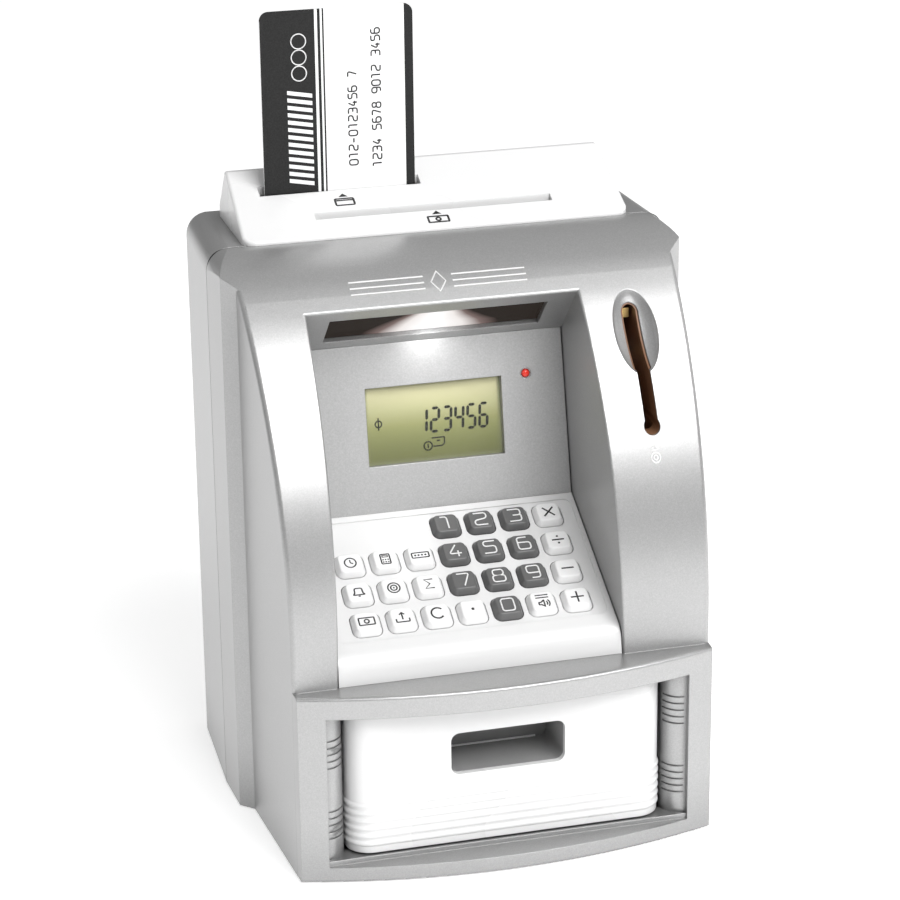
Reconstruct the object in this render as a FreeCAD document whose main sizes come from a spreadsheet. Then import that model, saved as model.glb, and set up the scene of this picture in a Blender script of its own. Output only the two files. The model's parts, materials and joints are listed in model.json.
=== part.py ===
import FreeCAD, Part
import math
import os
import re
import Sketcher

# Toy bank shaped like a cash machine, in millimetres.
# X runs to the right, the front faces -Y, Z is up. The origin is the middle of the footprint on the table.

Vector = FreeCAD.Vector
Rotation = FreeCAD.Rotation
DOC = FreeCAD.newDocument("toy_cash_machine_bank")

# ---------------------------------------------------------------- driving dimensions
DRIVING = (
    ("base_z", 0.4, "underside of the shells, above the table"),
    ("top_z", 201.5, "flat top of the shells"),
    ("wall", 2.4, "shell wall"),
    ("seam_y", 20.0, "joint between front and rear shell"),
    ("seam_gap", 0.25, "half of the open line between the shells"),
    ("seam_half", 82.4, "half width at the joint"),
    ("shell_round", 8.0, "rounding of the long top and back corners"),
    ("back_y", 74.5, "back of the rear shell"),
    ("back_half", 80.0, "half width at the back"),
    ("band_y", 0.4, "front of the wide band beside the joint"),
    ("band_half", 81.5, "half width at the front of the band"),
    ("cheek_y", -4.2, "back end of the fascia side"),
    ("cheek_half", 77.0, "half width at the back end of the fascia side"),
    ("corner_y", -63.3, "front corners of the base"),
    ("corner_half", 73.2, "half width at the front corners"),
    ("brow_y", -9.7, "point where the fascia turns over to the top"),
    ("brow_z", 190.0, "height of that point"),
    ("brow_round", 42.0, "radius over the brow"),
    ("face_round", 155.0, "radius of the fascia's long curve"),
    ("ledge_y", -59.2, "foot of the fascia on the ledge"),
    ("ledge_z", 68.8, "height of the ledge"),
    ("bow_round", 244.8, "radius of the bowed front of the base, in plan"),
    ("fascia_edge", 1.6, "rounding of the fascia's long edges"),
    ("mouth_edge", 0.8, "rounding of the niche's mouth"),
    ("edge_round", 1.1, "small rounding of the base's edges"),
    ("bay_half", 64.0, "half width of the drawer opening at the front"),
    ("bay_floor", 7.4, "floor of the drawer opening"),
    ("bay_top", 61.1, "top of the drawer opening"),
    ("bay_inner", 56.9, "half width of the drawer bay behind the rounded cheeks"),
    ("cheek_round", 7.0, "rounding of those cheeks"),
    ("sill_y", -64.9, "front of the thin lip across the sill"),
    ("sill_thick", 0.9, "thickness of that lip"),
    ("sill_step", 1.4, "drop from the lip's foot to the crescent step"),
    ("groove_deep", 0.5, "depth of the grip grooves in the cheeks"),
    ("groove_tall", 0.6, "height of one grip groove"),
    ("groove_pitch", 2.5, "pitch of the grip grooves"),
    ("niche_x", -7.8, "middle of the display niche"),
    ("niche_half_top", 47.7, "half width of the niche at its top edge"),
    ("niche_half_foot", 50.0, "half width of the niche at the ledge"),
    ("niche_wall", 1.8, "wall of the niche"),
    ("header_y", -13.7, "front edge of the sloping header"),
    ("header_z", 185.3, "height of that edge"),
    ("panel_y", 6.2, "top edge of the display panel"),
    ("panel_z", 166.5, "height of that edge"),
    ("panel_lean", 9.32, "lean of the display panel, degrees"),
    ("panel_thick", 2.4, "display panel"),
    ("header_lean", 43.4, "slope of the header, degrees"),
    ("panel_half_top", 47.8, "half width of the display panel at its top"),
    ("panel_half_foot", 49.0, "half width of the display panel at its foot"),
    ("panel_tall", 63.5, "display panel, up its slope"),
    ("lamp_half", 38.5, "half width of the lamp window"),
    ("lamp_start", 6.0, "lamp window, from the header's front edge"),
    ("lamp_deep", 16.5, "lamp window, along the slope"),
    ("screen_x", 0.8, "display window from the panel's middle"),
    ("screen_wide", 49.1, "display window"),
    ("screen_tall", 27.7, "display window"),
    ("screen_drop", 15.3, "display window below the panel's top edge"),
    ("led_x", 34.3, "status lamp from the panel's middle"),
    ("led_drop", 15.2, "status lamp below the panel's top edge"),
    ("led_radius", 1.6, "status lamp"),
    ("key_slope", 29.1, "slope of the keypad, degrees"),
    ("key_x", -7.3, "middle column of the keys"),
    ("key_y", -11.8, "first row of keys"),
    ("key_z", 103.9, "height of the first row"),
    ("column_pitch", 12.4, "key columns"),
    ("row_pitch", 12.85, "key rows"),
    ("key_wide", 10.2, "key, across"),
    ("key_tall", 9.8, "key, up the slope"),
    ("key_corner", 2.6, "key corners"),
    ("key_stand", 1.4, "key top above the row plane"),
    ("key_gap", 0.25, "gap round a key"),
    ("key_draft", 27.0, "draft of the key's sides, degrees"),
    ("key_edge", 0.7, "rounding of the key tops"),
    ("console_low", 0.6, "console rim below the row plane"),
    ("field_low", 1.0, "keypad field below the row plane"),
    ("console_thick", 2.2, "console wall"),
    ("console_gap", 0.25, "gap between the console and the niche"),
    ("lip_round", 7.0, "rounding of the console's front lip"),
    ("slot_x", 57.2, "coin slot"),
    ("slot_half", 2.35, "half width of the coin slot"),
    ("slot_low", 144.6, "centre of the slot's round foot"),
    ("slot_high", 177.4, "centre of the slot's round head"),
    ("slot_bulb", 2.9, "radius of the round foot"),
    ("slot_lip", 0.8, "thickness of the lip round the slot"),
    ("slot_deep", 4.0, "reach of the slot's outline behind the origin plane"),
    ("liner_thick", 0.75, "wall of the chute's neck with its play"),
    ("scoop_deep", 5.0, "depth of the scoop beside the slot"),
    ("scoop_half", 8.0, "half width of the scoop"),
    ("scoop_tall", 17.0, "half height of the scoop"),
    ("scoop_y", -26.2, "middle of the scoop"),
    ("scoop_z", 173.9, "height of its middle"),
    ("drawer_front", -63.4, "front of the drawer"),
    ("drawer_half", 55.9, "half width of the drawer front"),
    ("drawer_round", 8.5, "rounded upright corners of the drawer"),
    ("drawer_low", 8.2, "underside of the drawer"),
    ("drawer_high", 60.6, "top of the drawer front"),
    ("drawer_wall", 2.2, "drawer walls"),
    ("tray_half", 55.0, "half width of the drawer's tray"),
    ("tray_high", 52.0, "top of the tray's sides"),
    ("tray_back", 57.0, "back of the tray"),
    ("rib_first", 11.6, "middle of the lowest rib on the drawer front"),
    ("rib_pitch", 2.85, "pitch of those ribs"),
    ("rib_half", 1.0, "half height of one rib"),
    ("rib_round", 1.2, "radius of a rib's section"),
    ("pull_half", 20.2, "half width of the finger window"),
    ("pull_low", 33.6, "foot of the finger window"),
    ("pull_high", 48.9, "top of the finger window"),
    ("pull_corner", 3.0, "corner of the finger window"),
    ("pull_deep", 22.0, "depth of the finger cup"),
    ("cup_wall", 1.3, "wall of the finger cup"),
    ("latch_y", 66.0, "pivot of the drawer catch"),
    ("latch_z", 64.0, "height of that pivot"),
    ("latch_pin", 1.5, "radius of the catch's pivot pins"),
    ("ear_x", 5.9, "pivot ears, from the middle"),
    ("ear_thick", 2.4, "pivot ear"),
    ("cap_front", 18.6, "front edge of the top cap"),
    ("cap_peak_y", 52.6, "highest line of the top cap"),
    ("cap_peak_z", 219.2, "height of the top cap"),
    ("cap_back", 64.3, "back edge of the top cap"),
    ("cap_half", 69.4, "half width of the cap at its foot"),
    ("cap_half_top", 68.2, "half width of the cap at its peak"),
    ("cap_edge", 1.1, "rounding of the cap's edges"),
    ("cap_corner", 5.0, "upright corners of the cap"),
    ("bill_x", 0.7, "middle of the bill slot"),
    ("bill_y", 29.0, "bill slot"),
    ("bill_half", 42.7, "half length of the bill slot"),
    ("bill_gap", 2.4, "width of the bill slot"),
    ("card_x", -29.9, "middle of the card"),
    ("card_y", 41.0, "card"),
    ("card_wide", 54.0, "card, short side"),
    ("card_tall", 85.6, "card, long side"),
    ("card_thick", 0.8, "card"),
    ("card_top", 277.3, "top of the card as it stands in its slot"),
    ("roller_z", 165.0, "height of the bill rollers"),
    ("feed_radius", 5.5, "driven bill roller"),
    ("pinch_radius", 4.0, "idle bill roller"),
    ("shaft_radius", 1.5, "roller shafts"),
    ("gear_module", 1.0, "module of the bill drive"),
    ("pinion_teeth", 10, "teeth of the motor pinion"),
    ("gear_teeth", 22, "teeth of the roller gear"),
    ("boss_x", 69.0, "screw posts, from the middle"),
    ("boss_radius", 4.5, "screw posts"),
    ("boss_low", 24.0, "lower screw posts"),
    ("boss_high", 180.0, "upper screw posts"),
    ("cover_half", 31.0, "half width of the battery cover"),
    ("cover_low", 84.5, "foot of the battery cover"),
    ("cover_high", 135.5, "top of the battery cover"),
    ("cell_radius", 7.1, "battery cell"),
    ("cell_long", 50.0, "battery cell"),
)

SHEET = DOC.addObject("Spreadsheet::Sheet", "Sizes")
for row, (alias, number, meaning) in enumerate(DRIVING, start=1):
    SHEET.set(f"A{row}", meaning)
    SHEET.set(f"B{row}", str(number))
    SHEET.setAlias(f"B{row}", alias)
DOC.recompute()

ALIASES = {alias for alias, number, meaning in DRIVING}
PLANES = {
    "XY": ("XY_Plane", Rotation(), "z"),
    "XZ": ("XZ_Plane", Rotation(Vector(1, 0, 0), 90), "y"),
    "YZ": ("YZ_Plane", Rotation(Vector(1, 1, 1), 120), "x"),
}
SUBPARTS = []


# ---------------------------------------------------------------- sheet formulas
def linked(formula):
    """The formula with each alias pointing at its cell in the sheet."""
    return re.sub(r"[a-z_]+", lambda word: "Sizes." + word.group() if word.group() in ALIASES else word.group(),
                  str(formula))


def measure(formula):
    """The number that a formula gives now."""
    value = SHEET.evalExpression(linked(formula))
    return float(getattr(value, "Value", value))


def bind(thing, **formulas):
    """Tie properties to the sheet; a double underscore stands for a dot."""
    for prop, formula in formulas.items():
        thing.setExpression(prop.replace("__", "."), linked(formula))


def subpart(thing, name):
    """Register a finished sub-part under its own name."""
    thing.Label = name
    SUBPARTS.append(thing)
    return thing


# ---------------------------------------------------------------- sketches
def arc_centre(start, end, radius, side):
    """Centre of the arc from start to end; side 1 puts it left of the way, -1 right."""
    chord = end - start
    rise = math.sqrt(max(radius ** 2 - chord.Length ** 2 / 4, 0.0))
    left = Vector(-chord.y, chord.x, 0).normalize()
    return (start + end) * 0.5 + left * (rise * side)


def draw_loop(sketch, steps, closed=True):
    """A loop or open line; a step is (u, v) or (u, v, radius, side), the last two shaping the way to the next."""
    points = [Vector(measure(step[0]), measure(step[1]), 0) for step in steps]
    ends = []
    for index, step in enumerate(steps if closed else steps[:-1]):
        start = points[index]
        end = points[(index + 1) % len(points)]
        if len(step) == 2:
            edge = sketch.addGeometry(Part.LineSegment(start, end), False)
            ends.append((edge, 1, 2))
            continue
        radius, side = measure(step[2]), step[3]
        centre = arc_centre(start, end, radius, side)
        first, last = (start, end) if side > 0 else (end, start)
        turn = [math.atan2(point.y - centre.y, point.x - centre.x) for point in (first, last)]
        circle = Part.Circle(centre, Vector(0, 0, 1), radius)
        edge = sketch.addGeometry(Part.ArcOfCircle(circle, turn[0], turn[1]), False)
        ends.append((edge, 1, 2) if side > 0 else (edge, 2, 1))
        if radius > (end - start).Length / 2 + 0.001:
            number = sketch.addConstraint(Sketcher.Constraint("Radius", edge, radius))
            sketch.setExpression(f"Constraints[{number}]", linked(step[2]))
    corners = [(edge, start_end) for edge, start_end, finish_end in ends]
    if not closed:
        corners.append((ends[-1][0], ends[-1][2]))
    for index in range(len(ends) if closed else len(ends) - 1):
        edge, start_end, finish_end = ends[index]
        after, after_start, after_finish = ends[(index + 1) % len(ends)]
        sketch.addConstraint(Sketcher.Constraint("Coincident", edge, finish_end, after, after_start))
    for (edge, place), step in zip(corners, steps):
        for kind, formula in (("DistanceX", step[0]), ("DistanceY", step[1])):
            number = sketch.addConstraint(Sketcher.Constraint(kind, -1, 1, edge, place, measure(formula)))
            sketch.setExpression(f"Constraints[{number}]", linked(formula))


def rectangle(low_u, high_u, low_v, high_v):
    """Steps of a plain rectangle."""
    return [(low_u, low_v), (high_u, low_v), (high_u, high_v), (low_u, high_v)]


def rounded(low_u, high_u, low_v, high_v, corner):
    """Steps of a rectangle with four round corners."""
    return [
        (f"{low_u} + {corner}", low_v), (f"{high_u} - {corner}", low_v, corner, 1),
        (high_u, f"{low_v} + {corner}"), (high_u, f"{high_v} - {corner}", corner, 1),
        (f"{high_u} - {corner}", high_v), (f"{low_u} + {corner}", high_v, corner, 1),
        (low_u, f"{high_v} - {corner}"), (low_u, f"{low_v} + {corner}", corner, 1),
    ]


# ---------------------------------------------------------------- Part solids
def prism(name, plane, loops, low, high):
    """Loops drawn on a world plane and pushed from low to high along its normal."""
    turn, axis = PLANES[plane][1:]
    sketch = DOC.addObject("Sketcher::SketchObject", name + "_outline")
    sketch.Placement = FreeCAD.Placement(Vector(), turn)
    bind(sketch, **{"Placement__Base__" + axis: high if plane == "XZ" else low})
    for loop in loops:
        draw_loop(sketch, loop)
    solid = DOC.addObject("Part::Extrusion", name)
    solid.Base = sketch
    solid.DirMode = "Normal"
    solid.Solid = True
    bind(solid, LengthFwd=f"({high}) - ({low})")
    return solid


def block(name, low_x, high_x, low_y, high_y, low_z, high_z):
    """A box between two corners."""
    solid = DOC.addObject("Part::Box", name)
    bind(solid, Length=f"({high_x}) - ({low_x})", Width=f"({high_y}) - ({low_y})", Height=f"({high_z}) - ({low_z})",
         Placement__Base__x=low_x, Placement__Base__y=low_y, Placement__Base__z=low_z)
    return solid


def rod(name, axis, x, y, z, radius, length):
    """A cylinder that starts at a point and runs along a world axis."""
    turn = {"X": Rotation(Vector(0, 1, 0), 90), "Y": Rotation(Vector(1, 0, 0), -90), "Z": Rotation()}[axis]
    solid = DOC.addObject("Part::Cylinder", name)
    solid.Placement = FreeCAD.Placement(Vector(), turn)
    bind(solid, Radius=radius, Height=length,
         Placement__Base__x=x, Placement__Base__y=y, Placement__Base__z=z)
    return solid


def common(name, *solids):
    result = DOC.addObject("Part::MultiCommon", name)
    result.Shapes = list(solids)
    return result


def fuse(name, *solids):
    result = DOC.addObject("Part::MultiFuse", name)
    result.Shapes = list(solids)
    return result


def cut(name, base, *tools):
    result = DOC.addObject("Part::Cut", name)
    result.Base = base
    result.Tool = tools[0] if len(tools) == 1 else fuse(name + "_tools", *tools)
    return result


def round_edges(name, base, radius, wanted):
    """Round the edges of base that the test picks."""
    DOC.recompute()
    result = DOC.addObject("Part::Fillet", name)
    result.Base = base
    size = measure(radius)
    result.Edges = [(number, size, size) for number, edge in enumerate(base.Shape.Edges, start=1) if wanted(edge)]
    return result


def tilted_block(name, frame, wide, low_up, high_up, low_out, high_out):
    """A box in a leaning frame (x, y, z, lean): wide across, then up the slope, then out of it."""
    x, y, z, lean = frame
    solid = DOC.addObject("Part::Box", name)
    solid.Placement = FreeCAD.Placement(Vector(), Rotation(Vector(1, 0, 0), measure(lean)))
    up, out = f"({low_up})", f"({low_out})"
    tilt = f"({lean}) * 1deg"
    bind(solid, Length=wide, Width=f"({high_up}) - {up}", Height=f"({high_out}) - {out}",
         Placement__Rotation__Angle=tilt,
         Placement__Base__x=f"({x}) - ({wide}) / 2",
         Placement__Base__y=f"{y} + {up} * cos({tilt}) - {out} * sin({tilt})",
         Placement__Base__z=f"{z} + {up} * sin({tilt}) + {out} * cos({tilt})")
    return solid


# ---------------------------------------------------------------- PartDesign bodies
def new_body(name, x="0", y="0", z="0", lean=None):
    """A body with its own placement; lean turns its XY plane up about the X axis."""
    body = subpart(DOC.addObject("PartDesign::Body", name), name)
    if lean:
        body.Placement = FreeCAD.Placement(Vector(), Rotation(Vector(1, 0, 0), measure(lean)))
        bind(body, Placement__Rotation__Angle=f"({lean}) * 1deg")
    bind(body, Placement__Base__x=x, Placement__Base__y=y, Placement__Base__z=z)
    return body


def sketch_in(body, name, plane, loops, offset="0"):
    """A sketch on one of the body's own origin planes."""
    sketch = body.newObject("Sketcher::SketchObject", name)
    role = PLANES[plane][0]
    support = next(feature for feature in body.Origin.OriginFeatures if feature.Role == role)
    sketch.AttachmentSupport = [(support, "")]
    sketch.MapMode = "FlatFace"
    bind(sketch, AttachmentOffset__Base__z=offset)
    for loop in loops:
        draw_loop(sketch, loop)
    return sketch


def pad(body, name, plane, loops, offset, length, taper=None):
    """Add material from a plane at offset along its normal."""
    feature = body.newObject("PartDesign::Pad", name)
    feature.Profile = sketch_in(body, name + "_sketch", plane, loops, offset)
    bind(feature, Length=length)
    if taper:
        bind(feature, TaperAngle=taper)
    return feature


def pocket(body, name, plane, loops, offset, length):
    """Take material away from a plane at offset, against its normal."""
    feature = body.newObject("PartDesign::Pocket", name)
    feature.Profile = sketch_in(body, name + "_sketch", plane, loops, offset)
    bind(feature, Length=length)
    return feature


def soften(body, name, base, radius, wanted):
    """Round the edges of a body's last feature that the test picks."""
    DOC.recompute()
    feature = body.newObject("PartDesign::Fillet", name)
    picked = [f"Edge{number}" for number, edge in enumerate(base.Shape.Edges, start=1) if wanted(edge)]
    feature.Base = (base, picked)
    bind(feature, Radius=radius)
    return feature


# ---------------------------------------------------------------- the two shells
def side_outline(inset, back):
    """The fascia seen from the side, moved in by inset, closed at back."""
    return [
        (back, f"base_z + {inset}"),
        (back, f"top_z - {inset}"),
        ("seam_y - 1", f"top_z - {inset}", f"brow_round - {inset}", 1),
        (f"brow_y + 0.68 * {inset}", f"brow_z - 0.73 * {inset}", f"face_round - {inset}", 1),
        (f"ledge_y + {inset}", "ledge_z"),
        (f"ledge_y + {inset}", f"base_z + {inset}"),
    ]


def front_plan(inset, back):
    """The front shell seen from above, moved in by inset."""
    half = [
        (f"corner_half - {inset}", f"corner_y - {inset}"),
        (f"cheek_half - {inset}", f"cheek_y + {inset}"),
        (f"band_half - {inset}", f"band_y + {inset}"),
        (f"seam_half - {inset}", back),
    ]
    return half + [(f"-({u})", v) for u, v in reversed(half)]


def arch(inset):
    """Either shell seen from the front, with its rounded top corners."""
    half, top, radius = f"seam_half - {inset}", f"top_z - {inset}", f"shell_round - {inset}"
    return [
        (f"-({half})", f"base_z + {inset}"), (half, f"base_z + {inset}"),
        (half, "top_z - shell_round", radius, 1), ("seam_half - shell_round", top),
        ("shell_round - seam_half", top, radius, 1), (f"-({half})", "top_z - shell_round"),
    ]


def niche_slice(name, grow, back_grow, low_z):
    """The display niche as a solid, grown by a wall."""
    header = "(header_z - panel_z) / (panel_y - header_y)"
    side = [
        ("-90", low_z),
        (f"panel_y + {back_grow} - (panel_z + {grow} - {low_z}) * tan(panel_lean * 1deg)", low_z),
        (f"panel_y + {back_grow}", f"panel_z + {grow}"),
        ("panel_y", f"panel_z + 1.38 * {grow}"),
        ("panel_y - 60", f"panel_z + 1.38 * {grow} + 60 * {header}"),
        ("-90", f"panel_z + 1.38 * {grow} + 60 * {header}"),
    ]
    slope = "(niche_half_foot - niche_half_top) / (header_z - ledge_z)"
    foot = f"niche_half_foot + {grow} + (ledge_z - {low_z}) * {slope}"
    head = f"niche_half_foot + {grow} - (230 - ledge_z) * {slope}"
    front = [
        (f"niche_x - ({foot})", low_z), (f"niche_x + {foot}", low_z),
        (f"niche_x + {head}", "230"), (f"niche_x - ({head})", "230"),
    ]
    return common(name, prism(name + "_side", "YZ", [side], "-80", "60"),
                  prism(name + "_front", "XZ", [front], "-95", "40"))


def screw_posts(name, low_y, high_y, radius):
    """Four round posts or bores along Y beside the joint."""
    posts = []
    for side in (-1, 1):
        for level in ("boss_low", "boss_high"):
            posts.append(rod(f"{name}_{len(posts)}", "Y", f"{side} * boss_x", low_y, level, radius,
                             f"({high_y}) - ({low_y})"))
    return posts


def post_webs(name, low_y, high_y):
    """Thin webs that tie the screw posts to the side walls."""
    webs = []
    for side, level in ((-1, "boss_low"), (-1, "boss_high"), (1, "boss_low"), (1, "boss_high")):
        middle = f"{side} * (boss_x + 7.1)"
        webs.append(block(f"{name}_{len(webs)}", f"{middle} - 4.2", f"{middle} + 4.2", low_y, high_y,
                          f"{level} - 1", f"{level} + 1"))
    return webs


def slot_stem(name, grow):
    """The upright coin slot with its round foot, grown all round."""
    half = f"(slot_half + {grow})"
    stem = prism(name + "_stem", "XZ", [[
        (f"slot_x - {half}", "slot_low"), (f"slot_x + {half}", "slot_low"),
        (f"slot_x + {half}", "slot_high", half, 1), (f"slot_x - {half}", "slot_high")]], "-60", "slot_deep")
    foot = rod(name + "_foot", "Y", "slot_x", "-60", "slot_low", f"slot_bulb + {grow}", "60 + slot_deep")
    return fuse(name, stem, foot)


def slot_scoop(name, grow):
    """The scooped hollow beside the upper half of the coin slot."""
    scoop = DOC.addObject("Part::Ellipsoid", name)
    scoop.Placement = FreeCAD.Placement(Vector(), Rotation(Vector(1, 0, 0), 51.7))
    bind(scoop, Radius1=f"scoop_deep + {grow}", Radius2=f"scoop_half + {grow}", Radius3=f"scoop_tall + {grow}",
         Placement__Base__x="slot_x", Placement__Base__y="scoop_y", Placement__Base__z="scoop_z")
    return scoop


def slot_cuts():
    """The slot through the wall, wider behind a thin lip for the chute's neck, and its scoop."""
    wide = common("slot_seat", slot_stem("slot_wide", "liner_thick"), prism(
        "slot_seat_room", "YZ", [side_outline("slot_lip", "seam_y + 1")], "40", "75"))
    return [slot_stem("slot_cut", "0"), wide, slot_scoop("scoop_cut", "0")]


def grip_grooves():
    """Two groups of five thin grooves round each cheek of the drawer opening."""
    levels = []
    for group in ("15.2", "41.4"):
        for step in range(5):
            low = f"{group} + {step} * groove_pitch"
            levels.append(rectangle("-70", "70", low, f"{low} + groove_tall"))
    comb = prism("groove_comb", "XZ", levels, "-70", "-50")
    rings = []
    for side in (-1, 1):
        centre_x = f"{side} * (bay_inner + cheek_round)"
        centre_y = "corner_y + cheek_round"
        outer = rod(f"cheek_ring_{side + 1}", "Z", centre_x, centre_y, "10", "cheek_round + 0.2", "50")
        inner = rod(f"cheek_core_{side + 1}", "Z", centre_x, centre_y, "10", "cheek_round - groove_deep", "50")
        ring = cut(f"cheek_band_{side + 1}", outer, inner)
        limits = ("bay_inner - 0.5", "bay_half - 0.8") if side > 0 else ("0.8 - bay_half", "0.5 - bay_inner")
        reach = block(f"cheek_reach_{side + 1}", *limits, "corner_y - 0.5", "corner_y + 5.6", "10", "60")
        rings.append(common(f"groove_set_{side + 1}", ring, comb, reach))
    return rings


def bay_outline():
    """The drawer opening in plan: wide at the front, then in round the two cheeks."""
    half = [
        ("bay_half", "-85"),
        ("bay_half", "corner_y"),
        ("bay_inner + cheek_round", "corner_y", "cheek_round", -1),
        ("bay_inner", "corner_y + cheek_round"),
        ("bay_inner", "-45"),
    ]
    mirrored = [("-bay_inner", "-45"), ("-bay_inner", "corner_y + cheek_round", "cheek_round", -1),
                ("-(bay_inner + cheek_round)", "corner_y"), ("-bay_half", "corner_y"), ("-bay_half", "-85")]
    return half + mirrored


def on_fascia_edge(edge):
    """The two long curved edges down the sides of the fascia, below the brow."""
    box = edge.BoundBox
    return (box.ZLength > 60 and box.YMax < measure("brow_y") + 0.5 and box.ZMin > measure("ledge_z") - 1
            and min(abs(box.XMin), abs(box.XMax)) > measure("corner_half") - 2)


def on_niche_mouth(edge):
    """The top edge and the two long side edges of the niche, on the fascia's outer face."""
    box = edge.BoundBox
    head = box.XLength > 80 and abs(box.ZMin - measure("header_z")) < 1 and box.YMax < measure("header_y")
    side = box.ZLength > 80 and box.YMin < measure("ledge_y") and box.YMax < measure("header_y")
    return head or (side and abs(box.Center.x - measure("niche_x")) < measure("niche_half_foot") + 1)


def make_front_shell():
    joint = "seam_y - seam_gap"
    body = common("fascia_block",
                  prism("fascia_side", "YZ", [side_outline("0", joint)], "-90", "90"),
                  prism("fascia_plan", "XY", [front_plan("0", joint)], "-5", "230"),
                  prism("fascia_arch", "XZ", [arch("0")], "-95", "seam_y - seam_gap"))
    body = round_edges("fascia_softened", body, "fascia_edge", on_fascia_edge)
    bow = prism("base_bow", "XY", [[
        ("-corner_half", "corner_y", "bow_round", 1), ("corner_half", "corner_y"),
        ("corner_half + 0.3", "ledge_y + 2"), ("-corner_half - 0.3", "ledge_y + 2")]], "base_z", "ledge_z")
    bow = round_edges("base_bow_round", bow, "edge_round",
                      lambda edge: edge.BoundBox.YMin < measure("corner_y") - 5 and edge.BoundBox.ZLength < 1)
    hollow = common("fascia_hollow",
                    prism("hollow_side", "YZ", [side_outline("wall", "seam_y + 1")], "-90", "90"),
                    prism("hollow_plan", "XY", [front_plan("wall", "seam_y + 1")], "-5", "230"),
                    prism("hollow_arch", "XZ", [arch("wall")], "-95", "seam_y + 1"))
    sleeve = common("niche_sleeve", body, niche_slice("sleeve", "niche_wall", "panel_thick + 0.8", "64"))
    liners = [block(f"bay_liner_{side + 1}", f"{side} * (bay_inner + 0.9) - 0.9", f"{side} * (bay_inner + 0.9) + 0.9",
                    "corner_y + cheek_round - 1", "seam_y - 3", "base_z + 1", "63") for side in (-1, 1)]
    rails = [block(f"front_rail_{side + 1}", f"{side} * 44 - 2", f"{side} * 44 + 2", "-58", "seam_y - 3",
                   "base_z + 1", "drawer_low - 0.1") for side in (-1, 1)]
    posts = screw_posts("front_post", "4", "seam_y - 2.7", "boss_radius")
    pilots = screw_posts("front_pilot", "6.5", "seam_y", "1.3")
    bay = prism("drawer_bay", "XY", [bay_outline()], "bay_floor", "bay_top")
    step = prism("sill_crescent", "XY", [rectangle("-bay_half", "bay_half", "-85", "sill_y")],
                 "bay_floor - sill_step", "bay_top")
    lip = block("sill_lip", "-bay_half", "bay_half", "sill_y", "sill_y + sill_thick", "bay_floor - 1", "drawer_low - 0.4")
    lamp = tilted_block("lamp_hole", HEADER, "2 * lamp_half", "-lamp_start - lamp_deep", "-lamp_start", "-8", "4")
    feet = [rod(f"front_foot_seat_{side + 1}", "Z", f"{side} * 55", "-48", "0", "6.1", "base_z + 0.5")
            for side in (-1, 1)]
    backing = cut("slot_backing", common("slot_pad", body, block("slot_area", "50", "64.6", "-60", "0", "138", "186")),
                  prism("slot_backing_room", "YZ", [side_outline("5", "seam_y + 1")], "40", "75"))
    shell = cut("hollow_fascia", body, hollow)
    webs = post_webs("front_web", "5", "seam_y - 3")
    shell = fuse("fascia_with_walls", shell, bow, sleeve, backing, *liners, *rails, *posts, *webs)
    shell = cut("fascia_opened", shell, bay, step, niche_slice("niche_cut", "0", "panel_thick + 1", "ledge_z"),
                lamp, *slot_cuts(), *grip_grooves(), *pilots, *feet)
    shell = round_edges("front_shell", fuse("fascia_with_lip", shell, lip), "mouth_edge", on_niche_mouth)
    return subpart(shell, "front_shell")


def rear_form(name, inset, front):
    """The rear shell's outer form, moved in by inset, with its long corners rounded."""
    half = [(f"seam_half - {inset}", front), (f"back_half - {inset}", f"back_y - {inset}")]
    plan = half + [(f"-({u})", v) for u, v in reversed(half)]
    base, top = f"base_z + {inset}", f"top_z - {inset}"
    form = prism(name + "_plan", "XY", [plan], base, top)
    back, roof = measure(f"back_y - {inset}"), measure(top)

    def on_corner(edge):
        box = edge.BoundBox
        return box.YMax > back - 0.1 and (box.ZMin > roof - 0.1 or box.ZLength > 10)

    def on_side(edge):
        box = edge.BoundBox
        return box.YLength > 10 and box.ZMin > roof - 0.1

    return round_edges(name, form, f"shell_round - {inset}", lambda edge: on_corner(edge) or on_side(edge))


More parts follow.
